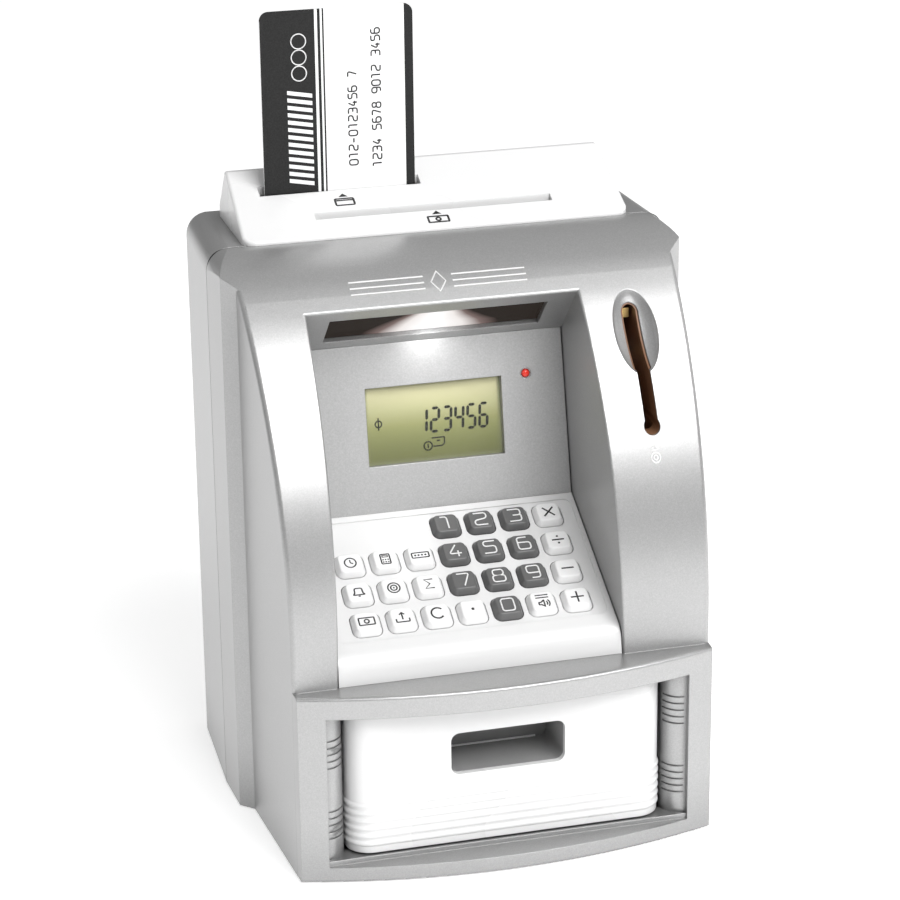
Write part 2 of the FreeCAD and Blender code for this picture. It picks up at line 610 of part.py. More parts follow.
def make_rear_shell():
    joint = "seam_y + seam_gap"
    body = rear_form("rear_block", "0", joint)
    hollow = rear_form("rear_hollow", "wall", "seam_y - 1")
    tongue = cut("seam_tongue", fuse("tongue_outer",
                                     prism("tongue_lip", "XZ", [arch("(wall + 0.1)")], "seam_y - 2.5", "seam_y + 1"),
                                     prism("tongue_root", "XZ", [arch("(wall - 0.4)")], joint, "seam_y + 2")),
                 prism("tongue_inner", "XZ", [arch("(wall + 1.3)")], "seam_y - 3", "seam_y + 3"))
    rails = [block(f"rear_rail_{side_sign + 1}", f"{side_sign} * 44 - 2", f"{side_sign} * 44 + 2", "seam_y + 1",
                   "back_y - 1", "base_z + 1", "drawer_low - 0.1") for side_sign in (-1, 1)]
    posts = screw_posts("rear_post", "seam_y - 2.5", "back_y - 1", "boss_radius")
    bores = screw_posts("rear_bore", "seam_y + 8", "back_y + 1", "3.1")
    pilots = screw_posts("rear_pilot", "seam_y - 4", "seam_y + 9", "1.6")
    door = block("cover_hole", "-cover_half - 0.3", "cover_half + 0.3", "back_y - wall - 1", "back_y + 1",
                 "cover_low - 0.3", "cover_high + 0.3")
    bill = block("rear_bill_slot", "bill_x - bill_half", "bill_x + bill_half", "bill_y - bill_gap / 2",
                 "bill_y + bill_gap / 2", "top_z - wall - 2", "top_z + 1")
    card = block("rear_card_slot", "card_x - 29", "card_x + 29", "card_y - 1.1", "card_y + 3.5",
                 "top_z - wall - 2", "top_z + 1")
    grille = [block(f"sound_slot_{number}", "36", "60", "back_y - wall - 1", "back_y + 1",
                    f"155 + {number} * 4.5", f"156.6 + {number} * 4.5") for number in range(5)]
    feet = [rod(f"rear_foot_seat_{side_sign + 1}", "Z", f"{side_sign} * 62", "58", "0", "6.1", "base_z + 0.5")
            for side_sign in (-1, 1)]
    webs = post_webs("rear_web", "seam_y + 1", "seam_y + 30")
    ears = [block(f"latch_ear_{side_sign + 1}", f"{side_sign} * ear_x - ear_thick / 2",
                  f"{side_sign} * ear_x + ear_thick / 2", "latch_y - 4", "back_y - 1", "latch_z - 4", "latch_z + 4")
            for side_sign in (-1, 1)]
    pivot = rod("latch_bore", "X", "-ear_x - 3", "latch_y", "latch_z", "latch_pin + 0.06", "2 * ear_x + 6")
    shell = fuse("rear_walls", cut("rear_open_block", body, hollow), tongue, *rails, *posts, *webs, *ears)
    shell = cut("rear_shell", shell, *bores, *pilots, door, bill, card, *grille, *feet, pivot)
    return subpart(shell, "rear_shell")


# ---------------------------------------------------------------- the niche: panel, display, lamp
PANEL = ("niche_x", "panel_y", "panel_z", "90 - panel_lean")
HEADER = ("niche_x", "header_y", "header_z", "180 - header_lean")


def ring(x, y, radius):
    """Steps of a full circle, as two half turns."""
    return [(f"{x} - {radius}", y, radius, 1), (f"{x} + {radius}", y, radius, 1)]


def make_display():
    panel = new_body("display_panel", *PANEL)
    pad(panel, "panel_plate", "XY", [[
        ("-panel_half_foot", "-panel_tall"), ("panel_half_foot", "-panel_tall"),
        ("panel_half_top", "-0.05"), ("-panel_half_top", "-0.05")]], "-panel_thick", "panel_thick")
    window = rectangle("screen_x - screen_wide / 2", "screen_x + screen_wide / 2",
                       "-screen_drop - screen_tall", "-screen_drop")
    pocket(panel, "panel_window", "XY", [window], "1", "panel_thick + 2")
    pocket(panel, "panel_led_hole", "XY", [ring("led_x", "-led_drop", "led_radius")], "1", "panel_thick + 2")

    pane = new_body("display_window", *PANEL)
    pad(pane, "pane", "XY", [rectangle(
        "screen_x - screen_wide / 2 + 0.1", "screen_x + screen_wide / 2 - 0.1",
        "0.1 - screen_drop - screen_tall", "-screen_drop - 0.1")], "-1.9", "0.9")

    screen = new_body("display_module", *PANEL)
    pad(screen, "screen_block", "XY", [rectangle(
        "screen_x - screen_wide / 2 - 3", "screen_x + screen_wide / 2 + 3",
        "-screen_drop - screen_tall - 3", "3 - screen_drop")], "-panel_thick - 3.1", "3")

    led = new_body("status_led", *PANEL)
    dome = pad(led, "led_rod", "XY", [ring("led_x", "-led_drop", "(led_radius - 0.08)")], "-panel_thick - 4", "panel_thick + 4.8")
    soften(led, "led_dome", dome, "led_radius - 0.3", lambda edge: edge.BoundBox.ZMin > 0.5)

    board = new_body("main_board", *PANEL)
    pad(board, "board_plate", "XY", [rectangle("-42", "42", "-58", "-4")], "-panel_thick - 8.6", "1.6")
    pad(board, "board_posts", "XY", [ring(x, y, "1.8") for x in ("-39", "39") for y in ("-7", "-55")],
        "-panel_thick - 7", "6.95")
    pad(board, "board_chips", "XY", [rectangle("-30", "-14", "-30", "-14"), rectangle("-6", "14", "-52", "-44"),
                                     rectangle("24", "31", "-26", "-16")], "-panel_thick - 10.8", "2.2")


def make_lamp():
    cover = new_body("lamp_window", *HEADER)
    pad(cover, "lamp_plate", "XY", [rectangle("-lamp_half - 1.5", "lamp_half + 1.5",
                                              "-lamp_start - lamp_deep - 1", "1 - lamp_start")],
        "-niche_wall - 1.25", "1.2")
    lamp = new_body("lamp_led", *HEADER)
    pad(lamp, "lamp_strip", "XY", [rectangle("-30", "30", "-lamp_start - 12", "-lamp_start - 3")], "-7.6", "1.2")
    pad(lamp, "lamp_chip", "XY", [rectangle("-3", "3", "-lamp_start - 10", "-lamp_start - 5")], "-6.4", "3.3")


# ---------------------------------------------------------------- keypad
KEYS = (
    (("", "", "", "key_1", "key_2", "key_3", "key_multiply")),
    (("key_clock", "key_calculator", "key_password", "key_4", "key_5", "key_6", "key_divide")),
    (("key_alarm", "key_target", "key_total", "key_7", "key_8", "key_9", "key_minus")),
    (("key_notes", "key_withdraw", "key_clear", "key_point", "key_0", "key_equals", "key_plus")),
)


def on_rows(up, out):
    """World y and z of a point on the keypad's slope."""
    tilt = "key_slope * 1deg"
    return (f"key_y + ({up}) * cos({tilt}) - ({out}) * sin({tilt})",
            f"key_z + ({up}) * sin({tilt}) + ({out}) * cos({tilt})")


def key_places():
    """Name, x and up-slope place of each key."""
    places = []
    for row_number, names in enumerate(KEYS):
        for column, name in enumerate(names):
            if name:
                places.append((name, f"({column} - 3) * column_pitch", f"-{row_number} * row_pitch"))
    return places


def make_console():
    foot = "ledge_z + 0.05"
    rim, under = "-console_low", "-console_low - console_thick"
    lip_up, lip_z = "-49.5", "73.2"
    outer = [on_rows("11", rim), on_rows(lip_up, rim) + ("lip_round", 1), ("-58.3", lip_z),
             ("-58.8", foot), ("5", foot)]
    inner = [on_rows("16", under), on_rows(lip_up, under) + ("lip_round - console_thick", 1),
             ("-58.3 + console_thick", lip_z), ("-58.8 + console_thick", "ledge_z - 2"), ("12", "ledge_z - 2")]
    room = niche_slice("console_room", "(0 - console_gap)", "(0 - 0.1)", foot)
    block_shape = common("console_block", prism("console_profile", "YZ", [outer], "-70", "60"), room)
    inside = prism("console_inside", "YZ", [inner], "niche_x - niche_half_foot + 2.4", "niche_x + niche_half_foot - 2.4")
    field = round_edges("keypad_field", tilted_block("field_block", ("niche_x", "key_y", "key_z", "key_slope"),
                                                     "95", "-45.6", "6.6", "-field_low", "4"),
                        "3", lambda edge: 4 < edge.Length < 6)
    wells = []
    for name, x, up in key_places():
        frame = (f"key_x + {x}",) + on_rows(up, "0") + ("key_slope",)
        well = tilted_block(name + "_well_block", frame, "key_wide + 2 * key_gap",
                            "-key_tall / 2 - key_gap", "key_tall / 2 + key_gap", "-6", "3")
        wells.append(round_edges(name + "_well", well, "key_corner + key_gap", lambda edge: 8.5 < edge.Length < 9.5))
    subpart(cut("keypad_console", block_shape, inside, field, *wells), "keypad_console")


def make_keys():
    shape = rounded("(0 - key_wide / 2)", "(key_wide / 2)", "(0 - key_tall / 2)", "(key_tall / 2)", "key_corner")
    flange = rectangle("-key_wide / 2 - 0.7", "key_wide / 2 + 0.7", "-key_tall / 2 - 0.7", "key_tall / 2 + 0.7")
    for name, x, up in key_places():
        key = new_body(name, f"key_x + {x}", *on_rows(up, "0"), lean="key_slope")
        pad(key, name + "_flange", "XY", [flange], "-3.8", "0.8")
        pad(key, name + "_stem", "XY", [shape], "-3", "3 - field_low")
        cap = pad(key, name + "_cap", "XY", [shape], "-field_low", "field_low + key_stand", "-key_draft")
        soften(key, name + "_edge", cap, "key_edge", lambda edge: edge.BoundBox.ZMin > measure("key_stand") - 0.1)


def make_keypad_inside():
    mat = new_body("key_mat", "niche_x", "key_y", "key_z", "key_slope")
    pad(mat, "mat_sheet", "XY", [rectangle("-44", "44", "-44.6", "5.4")], "-7.2", "0.8")
    pad(mat, "mat_domes", "XY", [ring(f"key_x - niche_x + {x}", up, "3") for name, x, up in key_places()],
        "-6.4", "2.55")
    board = new_body("keypad_board", "niche_x", "key_y", "key_z", "key_slope")
    pad(board, "keypad_plate", "XY", [rectangle("-46.6", "46.6", "-44.6", "5.4")], "-8.8", "1.6")
    pad(board, "keypad_posts", "XY", [ring(x, y, "1.1") for x in ("-45.4", "45.4") for y in ("-40", "1")],
        "-7.2", "4.35")


# ---------------------------------------------------------------- drawer
def drawer_plan(half, front, back):
    """The drawer from above, with its two rounded front corners."""
    return [
        (f"-({half})", back), (f"-({half})", f"{front} + drawer_round", "drawer_round", 1),
        (f"drawer_round - ({half})", front), (f"{half} - drawer_round", front, "drawer_round", 1),
        (half, f"{front} + drawer_round"), (half, back)]


def ribbed_section():
    """Upright section of the drawer's front wall with its six round ribs."""
    steps = [("-drawer_half", "drawer_low")]
    for number in range(6):
        middle = f"rib_first + {number} * rib_pitch"
        steps.append(("-drawer_half", f"{middle} - rib_half", "rib_round", -1))
        steps.append(("-drawer_half", f"{middle} + rib_half"))
    return steps + [("-drawer_half", "drawer_high"), ("drawer_wall - drawer_half", "drawer_high"),
                    ("drawer_wall - drawer_half", "drawer_low")]


def make_drawer():
    back = "-48"
    route = DOC.addObject("Sketcher::SketchObject", "drawer_front_route")
    bind(route, Placement__Base__z="drawer_low")
    draw_loop(route, drawer_plan("drawer_half", "drawer_front", back), closed=False)
    section = DOC.addObject("Sketcher::SketchObject", "drawer_front_section")
    section.Placement = FreeCAD.Placement(Vector(), PLANES["XZ"][1])
    bind(section, Placement__Base__y=back)
    draw_loop(section, ribbed_section())
    wall = DOC.addObject("Part::Sweep", "drawer_front_wall")
    wall.Sections = [section]
    wall.Spine = (route, [f"Edge{number + 1}" for number in range(5)])
    wall.Solid = True
    floor = prism("drawer_front_floor", "XY", [drawer_plan("(drawer_half - 0.6)", "(drawer_front + 0.6)", "-46")],
                  "drawer_low", "drawer_low + 2")
    tray = cut("tray_walls", block("tray_block", "-tray_half", "tray_half", "-49", "tray_back", "drawer_low", "tray_high"),
               block("tray_room", "drawer_wall - tray_half", "tray_half - drawer_wall", "-60",
                     "tray_back - drawer_wall", "drawer_low + 2", "tray_high + 5"))
    window = prism("finger_window", "XZ", [rounded("(0 - pull_half)", "pull_half", "pull_low", "pull_high", "pull_corner")],
                   "-70", "-56")
    subpart(cut("drawer_tray", fuse("drawer_body", wall, floor, tray), window), "drawer_tray")

    grown = rounded("(0 - pull_half - cup_wall)", "(pull_half + cup_wall)", "(pull_low - cup_wall)",
                    "(pull_high + cup_wall)", "(pull_corner + cup_wall)")
    inner = rounded("(0 - pull_half)", "pull_half", "pull_low", "pull_high", "pull_corner")
    cup = cut("drawer_pull_cup", prism("cup_block", "XZ", [grown], "drawer_front + drawer_wall",
                                       "drawer_front + pull_deep + cup_wall"),
              prism("cup_room", "XZ", [inner], "-70", "drawer_front + pull_deep"))
    subpart(cup, "drawer_pull_cup")


def make_latch():
    hub = rod("latch_hub", "X", "-4.4", "latch_y", "latch_z", "2.6", "8.8")
    pins = rod("latch_pins", "X", "-ear_x - ear_thick / 2", "latch_y", "latch_z", "latch_pin", "2 * ear_x + ear_thick")
    arm = block("latch_arm", "-3", "3", "46.5", "latch_y", "latch_z - 1.5", "latch_z + 1.5")
    hook = block("latch_hook", "-3", "3", "46.5", "49", "latch_z - 8", "latch_z - 1")
    subpart(fuse("drawer_latch", hub, pins, arm, hook), "drawer_latch")

    coil = DOC.addObject("Part::Helix", "spring_line")
    coil.Placement = FreeCAD.Placement(Vector(), Rotation(Vector(1, 0, 0), -90))
    bind(coil, Pitch="3", Height="13", Radius="4.5", Placement__Base__x="30", Placement__Base__y="58.2",
         Placement__Base__z="30")
    wire = DOC.addObject("Part::Circle", "spring_wire")
    bind(wire, Radius="0.5", Placement__Base__x="34.5", Placement__Base__y="58.2", Placement__Base__z="30")
    spring = DOC.addObject("Part::Sweep", "eject_spring")
    spring.Sections = [wire]
    DOC.recompute()
    spring.Spine = (coil, ["Edge1"])
    spring.Solid = True
    spring.Frenet = True
    subpart(spring, "eject_spring")


# ---------------------------------------------------------------- top cap
def make_cap():
    side = [("cap_front", "top_z"), ("cap_back", "top_z"), ("cap_peak_y + 2.5", "cap_peak_z"),
            ("cap_peak_y", "cap_peak_z"), ("cap_front", "top_z + 1.2")]
    inner_side = [("cap_front + 10", "top_z + wall / 2"), ("cap_back - wall - 1", "top_z + wall / 2"),
                  ("cap_peak_y + 1", "cap_peak_z - wall"), ("cap_peak_y", "cap_peak_z - wall")]

    def front(inset):
        return [(f"{inset} - cap_half", "top_z - 1"), (f"cap_half - {inset}", "top_z - 1"),
                (f"cap_half_top - {inset}", "cap_peak_z"), (f"{inset} - cap_half_top", "cap_peak_z")]

    plan = [("-cap_half", "cap_front + cap_corner", "cap_corner", 1), ("cap_corner - cap_half", "cap_front"),
            ("cap_half - cap_corner", "cap_front", "cap_corner", 1), ("cap_half", "cap_front + cap_corner"),
            ("cap_half", "cap_back - cap_corner", "cap_corner", 1), ("cap_half - cap_corner", "cap_back"),
            ("cap_corner - cap_half", "cap_back", "cap_corner", 1), ("-cap_half", "cap_back - cap_corner")]
    shape = common("cap_wedge", prism("cap_side", "YZ", [side], "-80", "80"),
                   prism("cap_arch", "XZ", [front("0")], "10", "80"),
                   prism("cap_plan", "XY", [plan], "top_z", "cap_peak_z + 1"))

    def upper(edge):
        return edge.BoundBox.ZMin > measure("top_z") + 0.5
    shape = round_edges("cap_rounded", shape, "cap_edge", upper)
    hollow = common("cap_hollow", prism("cap_inner_side", "YZ", [inner_side], "-80", "80"),
                    prism("cap_inner_arch", "XZ", [front("wall")], "20", "70"))
    bill = block("cap_bill_slot", "bill_x - bill_half", "bill_x + bill_half", "bill_y - bill_gap / 2 - 0.9",
                 "bill_y + bill_gap / 2", "top_z - 1", "cap_peak_z + 2")
    card = block("cap_card_slot", "card_x - 28.9", "card_x + 28.9", "card_y - 1.1", "card_y + 3.5",
                 "top_z - 1", "cap_peak_z + 2")
    subpart(cut("top_cap", shape, hollow, bill, card), "top_cap")


# ---------------------------------------------------------------- card
def make_card():
    card = new_body("bank_card", "card_x", "card_y", "card_top")
    pad(card, "card_sheet", "XZ", [rounded("(0 - card_wide / 2)", "(card_wide / 2)", "(0 - card_tall)", "0", "3.2")],
        "-card_thick / 2", "card_thick")
    outer = block("card_guide_block", "card_x - 30", "card_x + 30", "card_y - 3", "card_y + 6", "184", "top_z - wall - 0.05")
    slot = block("card_guide_slot", "card_x - 27.3", "card_x + 27.3", "card_y - 0.7", "card_y + 0.7", "186", "230")
    mouth = block("card_guide_mouth", "card_x - 28", "card_x + 28", "card_y - 1.1", "card_y + 3.4", "196", "230")
    subpart(cut("card_guide", outer, slot, mouth), "card_guide")


# ---------------------------------------------------------------- bill feed
def gear_shape(teeth, module, start_angle, width):
    """A spur gear along X with straight-sided teeth, slim enough to run free."""
    pitch_radius = teeth * module / 2
    points = []
    for tooth in range(teeth):
        middle = start_angle + tooth * 2 * math.pi / teeth
        for reach, half in ((-1.15, -0.95), (0.8, -0.34), (0.8, 0.34), (-1.15, 0.95)):
            radius = pitch_radius + reach * module
            angle = middle + half * module / radius
            points.append(Vector(0, radius * math.cos(angle), radius * math.sin(angle)))
    face = Part.Face(Part.makePolygon(points + points[:1]))
    return face.extrude(Vector(width, 0, 0))


def feature(name, shape):
    """A sub-part whose shape comes from Part's own functions."""
    result = DOC.addObject("Part::Feature", name)
    result.Shape = shape
    return result


def make_bill_feed():
    feed_y = measure("bill_y + 0.15 + feed_radius")
    pinch_y = measure("bill_y - 0.15 - pinch_radius")
    level = measure("roller_z")
    module = measure("gear_module")
    gear_teeth, pinion_teeth = int(measure("gear_teeth")), int(measure("pinion_teeth"))
    motor_y = feed_y + module * (gear_teeth + pinion_teeth) / 2

    gear = feature("feed_gear_teeth", gear_shape(gear_teeth, module, math.pi / gear_teeth, 3.6))
    gear.Placement.Base = Vector(50.6, feed_y, level)
    axle = rod("feed_axle", "X", "-49", str(feed_y), "roller_z", "shaft_radius", "105")
    subpart(fuse("feed_shaft", axle, gear), "feed_shaft")
    tyres = [cut(f"feed_tyre_{side + 1}", rod(f"tyre_block_{side + 1}", "X", f"{side} * 22 - 5", str(feed_y),
                                              "roller_z", "feed_radius", "10"),
                 rod(f"tyre_bore_{side + 1}", "X", f"{side} * 22 - 6", str(feed_y), "roller_z", "shaft_radius", "12"))
             for side in (-1, 1)]
    subpart(group("feed_rollers", tyres), "feed_rollers")
    idlers = [rod(f"idler_{side + 1}", "X", f"{side} * 22 - 5", str(pinch_y), "roller_z", "pinch_radius", "10")
              for side in (-1, 1)]
    subpart(fuse("pinch_roller", rod("pinch_axle", "X", "-49", str(pinch_y), "roller_z", "1.2", "98.5"), *idlers),
            "pinch_roller")

    pinion = feature("pinion_teeth_ring", gear_shape(pinion_teeth, module, 0.0, 3.4))
    pinion.Placement.Base = Vector(50.7, motor_y, level)
    subpart(fuse("motor_pinion", pinion, rod("pinion_axle", "X", "51", str(motor_y), "roller_z", "1", "5.9")),
            "motor_pinion")
    subpart(fuse("feed_motor", rod("motor_can", "X", "57.2", str(motor_y), "roller_z", "9.4", "18.5"),
                 rod("motor_tail", "X", "75", str(motor_y), "roller_z", "2.5", "2")), "feed_motor")

    plates = []
    for name, low, high in (("front", "bill_y - 2.9", "bill_y - 1.4"), ("rear", "bill_y + 1.4", "bill_y + 2.9")):
        plates.append(block(f"guide_{name}_plate", "bill_x - 46.5", "bill_x + 46.5", low, high, "66", "top_z - wall - 3"))
    for side in (-1, 1):
        plates.append(block(f"guide_side_{side + 1}", f"bill_x + {side} * 45.7 - 0.8", f"bill_x + {side} * 45.7 + 0.8",
                            "bill_y - 2.9", "bill_y + 2.9", "66", "top_z - wall - 3"))
    plates.append(block("bearing_left", "bill_x - 48.8", "bill_x - 46.4", "20", "41", "157", "173"))
    plates.append(block("bearing_right", "bill_x + 46.4", "bill_x + 48.8", "20", "61", "154", "176"))
    plates.append(block("motor_plate", "55.4", "57.1", "40", "61", "154", "176"))
    plates.append(block("motor_web", "bill_x + 47", "56", "40", "61", "153", "154.6"))
    holes = [block(f"roller_window_{side + 1}", f"{side} * 22 - 6", f"{side} * 22 + 6", "20", "40", "158", "172")
             for side in (-1, 1)]
    holes.append(rod("feed_bore", "X", "-60", str(feed_y), "roller_z", "shaft_radius + 0.06", "110"))
    holes.append(rod("pinch_bore", "X", "-60", str(pinch_y), "roller_z", "1.27", "110"))
    holes.append(rod("pinion_bore", "X", "48", str(motor_y), "roller_z", "3", "12"))
    holes.append(block("gear_room", "bill_x + 49.2", "55", "22", "41", "150", "180"))
    subpart(cut("bill_guide", fuse("guide_plates", *plates), *holes), "bill_guide")


# ---------------------------------------------------------------- coin path
def make_coin_path():
    front = prism("chute_front", "YZ", [side_outline("5.4", "seam_y + 1")], "40", "75")

    def channel(grow, top, foot):
        return [(f"slot_x - 2.6 - {grow}", top), (f"slot_x - 2.6 - {grow}", "98"),
                (f"49 - 2.9 - {grow}", foot), (f"49 + 2.9 + {grow}", foot),
                (f"slot_x + 2.6 + {grow}", "98"), (f"slot_x + 2.6 + {grow}", top)]
    outer = prism("chute_outer", "XZ", [channel("1.1", "186", "66")], "-60", "7")
    inner = prism("chute_inner", "XZ", [channel("0", "184.9", "60")], "-70", "5.9")
    pivot = rod("lever_bore", "X", "slot_x - 6", "2", "158", "1.05", "12")
    neck = common("chute_neck", slot_stem("neck_wide", "liner_thick - 0.1"), prism(
        "neck_reach", "YZ", [side_outline("slot_lip + 0.1", "seam_y + 1")], "40", "75"),
        block("neck_area", "50", "65", "-60", "-8", "130", "190"))
    neck = cut("neck_trimmed", neck, slot_scoop("neck_scoop", "0.5"), prism("neck_back", "YZ", [side_outline("6.5", "seam_y + 1")], "40", "75"))
    chute = cut("chute_walls", common("chute_body", outer, front), inner, pivot)
    subpart(cut("coin_chute", fuse("chute_with_neck", chute, neck), slot_stem("neck_bore", "0")), "coin_chute")

    hub = rod("lever_hub", "X", "slot_x - 1.6", "2", "158", "2.2", "3.2")
    pin = rod("lever_pin", "X", "slot_x - 3.5", "2", "158", "1", "7")
    arm = block("lever_arm", "slot_x - 1", "slot_x + 1", "-11", "2", "157", "158.6")
    subpart(fuse("coin_lever", hub, pin, arm), "coin_lever")

    strips = [block(f"contact_{number}", "slot_x - 2.6", "slot_x + 1.6", "-12.6", "-12.2", level, f"{level} + 3.4")
              for number, level in enumerate(("159.5", "174"))]
    subpart(group("coin_contacts", strips), "coin_contacts")


# ---------------------------------------------------------------- power and sound
def make_power():
    box = cut("battery_box", block("battery_block", "-29", "29", "53.4", "back_y - wall - 0.1", "86.2", "133.8"),
              block("battery_room", "-27.4", "27.4", "55", "back_y", "87.8", "132.2"))
    subpart(box, "battery_box")
    cells = [rod(f"cell_{number}", "X", "-cell_long / 2", "62.6", f"95.2 + {number} * 14.8", "cell_radius", "cell_long")
             for number in range(3)]
    subpart(group("batteries", cells), "batteries")
    tabs = []
    for side in (-1, 1):
        for number in range(3):
            level = f"95.2 + {number} * 14.8"
            tabs.append(block(f"tab_{side + 1}_{number}", f"{side} * 26.2 - 1.15", f"{side} * 26.2 + 1.15", "57", "68",
                              f"{level} - 4", f"{level} + 4"))
    subpart(group("battery_contacts", tabs), "battery_contacts")
    plate = block("cover_plate", "-cover_half", "cover_half", "back_y - 2.3", "back_y", "cover_low", "cover_high")
    grip = [block(f"cover_grip_{number}", "-9", "9", "back_y - 0.6", "back_y + 1", f"124 + {number} * 2.4",
                  f"125.2 + {number} * 2.4") for number in range(3)]
    subpart(cut("battery_cover", plate, *grip), "battery_cover")
    subpart(fuse("speaker", rod("speaker_rim", "Y", "48", "back_y - wall - 3.1", "165", "15", "3"),
                 rod("speaker_magnet", "Y", "48", "back_y - wall - 7", "165", "8", "5")), "speaker")


def group(name, solids):
    """Several like pieces as one sub-part of separate solids."""
    result = DOC.addObject("Part::Compound", name)
    result.Links = solids
    return result


def make_fasteners():
    screws = []
    for number, (shank, head) in enumerate(zip(screw_posts("shank", "8", "seam_y + 9.05", "1.25"),
                                               screw_posts("head", "seam_y + 9", "seam_y + 11.4", "2.8"))):
        screws.append(fuse(f"screw_{number}", shank, head))
    subpart(group("shell_screws", screws), "shell_screws")
    feet = [rod(f"foot_{number}", "Z", x, y, "0", "6", "base_z + 0.5")
            for number, (x, y) in enumerate((("-55", "-48"), ("55", "-48"), ("-62", "58"), ("62", "58")))]
    subpart(group("rubber_feet", feet), "rubber_feet")


# ---------------------------------------------------------------- build, check, write
def check(document):
    """Stop at any failed object or broken sub-part."""
    failed = [thing.Name for thing in document.Objects if {"Invalid", "Error"} & set(thing.State)]
    if failed:
        raise RuntimeError(f"did not compute: {failed}")
    for thing in document.Objects:
        if thing.TypeId == "PartDesign::Pocket" and thing.Shape.Volume > thing.BaseFeature.Shape.Volume - 0.01:
            raise RuntimeError(f"{thing.Name} takes nothing away")
    for piece in SUBPARTS:
        if piece.Shape.isNull() or not piece.Shape.isValid():
            raise RuntimeError(f"{piece.Label} is not a valid solid")


def main():
    make_front_shell()
    make_rear_shell()
    make_display()
    make_lamp()
    make_console()
    make_keys()
    make_keypad_inside()
    make_drawer()
    make_latch()
    make_cap()
    make_card()
    make_bill_feed()
    make_coin_path()
    make_power()
    make_fasteners()
    DOC.recompute()
    check(DOC)
    os.makedirs("parts", exist_ok=True)
    for piece in SUBPARTS:
        piece.Shape.exportStep(f"parts/{piece.Label}.step")
        print(f"{piece.Label}: {len(piece.Shape.Solids)} solid(s), {piece.Shape.Volume / 1000:.2f} cm3")


main()
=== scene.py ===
"""Looks of the toy cash machine savings bank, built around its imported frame. Metres; the front faces -Y."""
import json
import math

import bmesh
import bpy
from mathutils import Matrix, Vector
from mathutils.bvhtree import BVHTree


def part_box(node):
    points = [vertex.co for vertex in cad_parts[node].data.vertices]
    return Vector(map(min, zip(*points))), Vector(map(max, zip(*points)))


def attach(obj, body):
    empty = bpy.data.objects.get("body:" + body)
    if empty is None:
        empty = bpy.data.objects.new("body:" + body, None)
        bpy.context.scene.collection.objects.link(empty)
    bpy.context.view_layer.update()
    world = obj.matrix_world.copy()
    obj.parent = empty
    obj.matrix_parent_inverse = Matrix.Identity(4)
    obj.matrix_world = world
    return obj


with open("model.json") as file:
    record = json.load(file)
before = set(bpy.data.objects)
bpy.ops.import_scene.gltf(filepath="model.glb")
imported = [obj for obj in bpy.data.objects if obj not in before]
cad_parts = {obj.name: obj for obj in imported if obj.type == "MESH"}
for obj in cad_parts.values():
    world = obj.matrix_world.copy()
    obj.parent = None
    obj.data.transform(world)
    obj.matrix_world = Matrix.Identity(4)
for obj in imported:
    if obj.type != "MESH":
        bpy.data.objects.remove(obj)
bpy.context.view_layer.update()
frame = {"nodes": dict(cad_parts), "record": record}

MM = 0.001
RIGHT = Vector((1, 0, 0))
FRONT = Vector((0, -1, 0))
TOP = Vector((0, 0, 1))
INK = 0.05           # height of printing, in millimetres


# ---------------------------------------------------------------- places read from the frame
def span(node, direction):
    """Lowest and highest reach of a CAD node along a direction, in metres."""
    reach = [vertex.co.dot(direction) for vertex in frame["nodes"][node].data.vertices]
    return min(reach), max(reach)


class Face:
    """The largest flat face of a node that looks some way, with its own right, up and out."""

    def __init__(self, node, towards, near=0.6):
        faces = [face for face in frame["nodes"][node].data.polygons if face.normal.dot(towards) > near]
        face = max(faces, key=lambda candidate: candidate.area)
        self.out = face.normal.copy()
        self.up = self.out.cross(RIGHT).normalized()
        self.level = face.center.dot(self.out)

    def at(self, x, up, lift=0.0, turn=0.0):
        """Matrix that puts a flat drawing at x and up, both measured from the frame's origin."""
        spot = RIGHT * x + self.up * up + self.out * (self.level + lift)
        sheet = Matrix((RIGHT, self.up, self.out)).transposed().to_4x4()
        return Matrix.Translation(spot) @ sheet @ Matrix.Rotation(turn, 4, "Z")


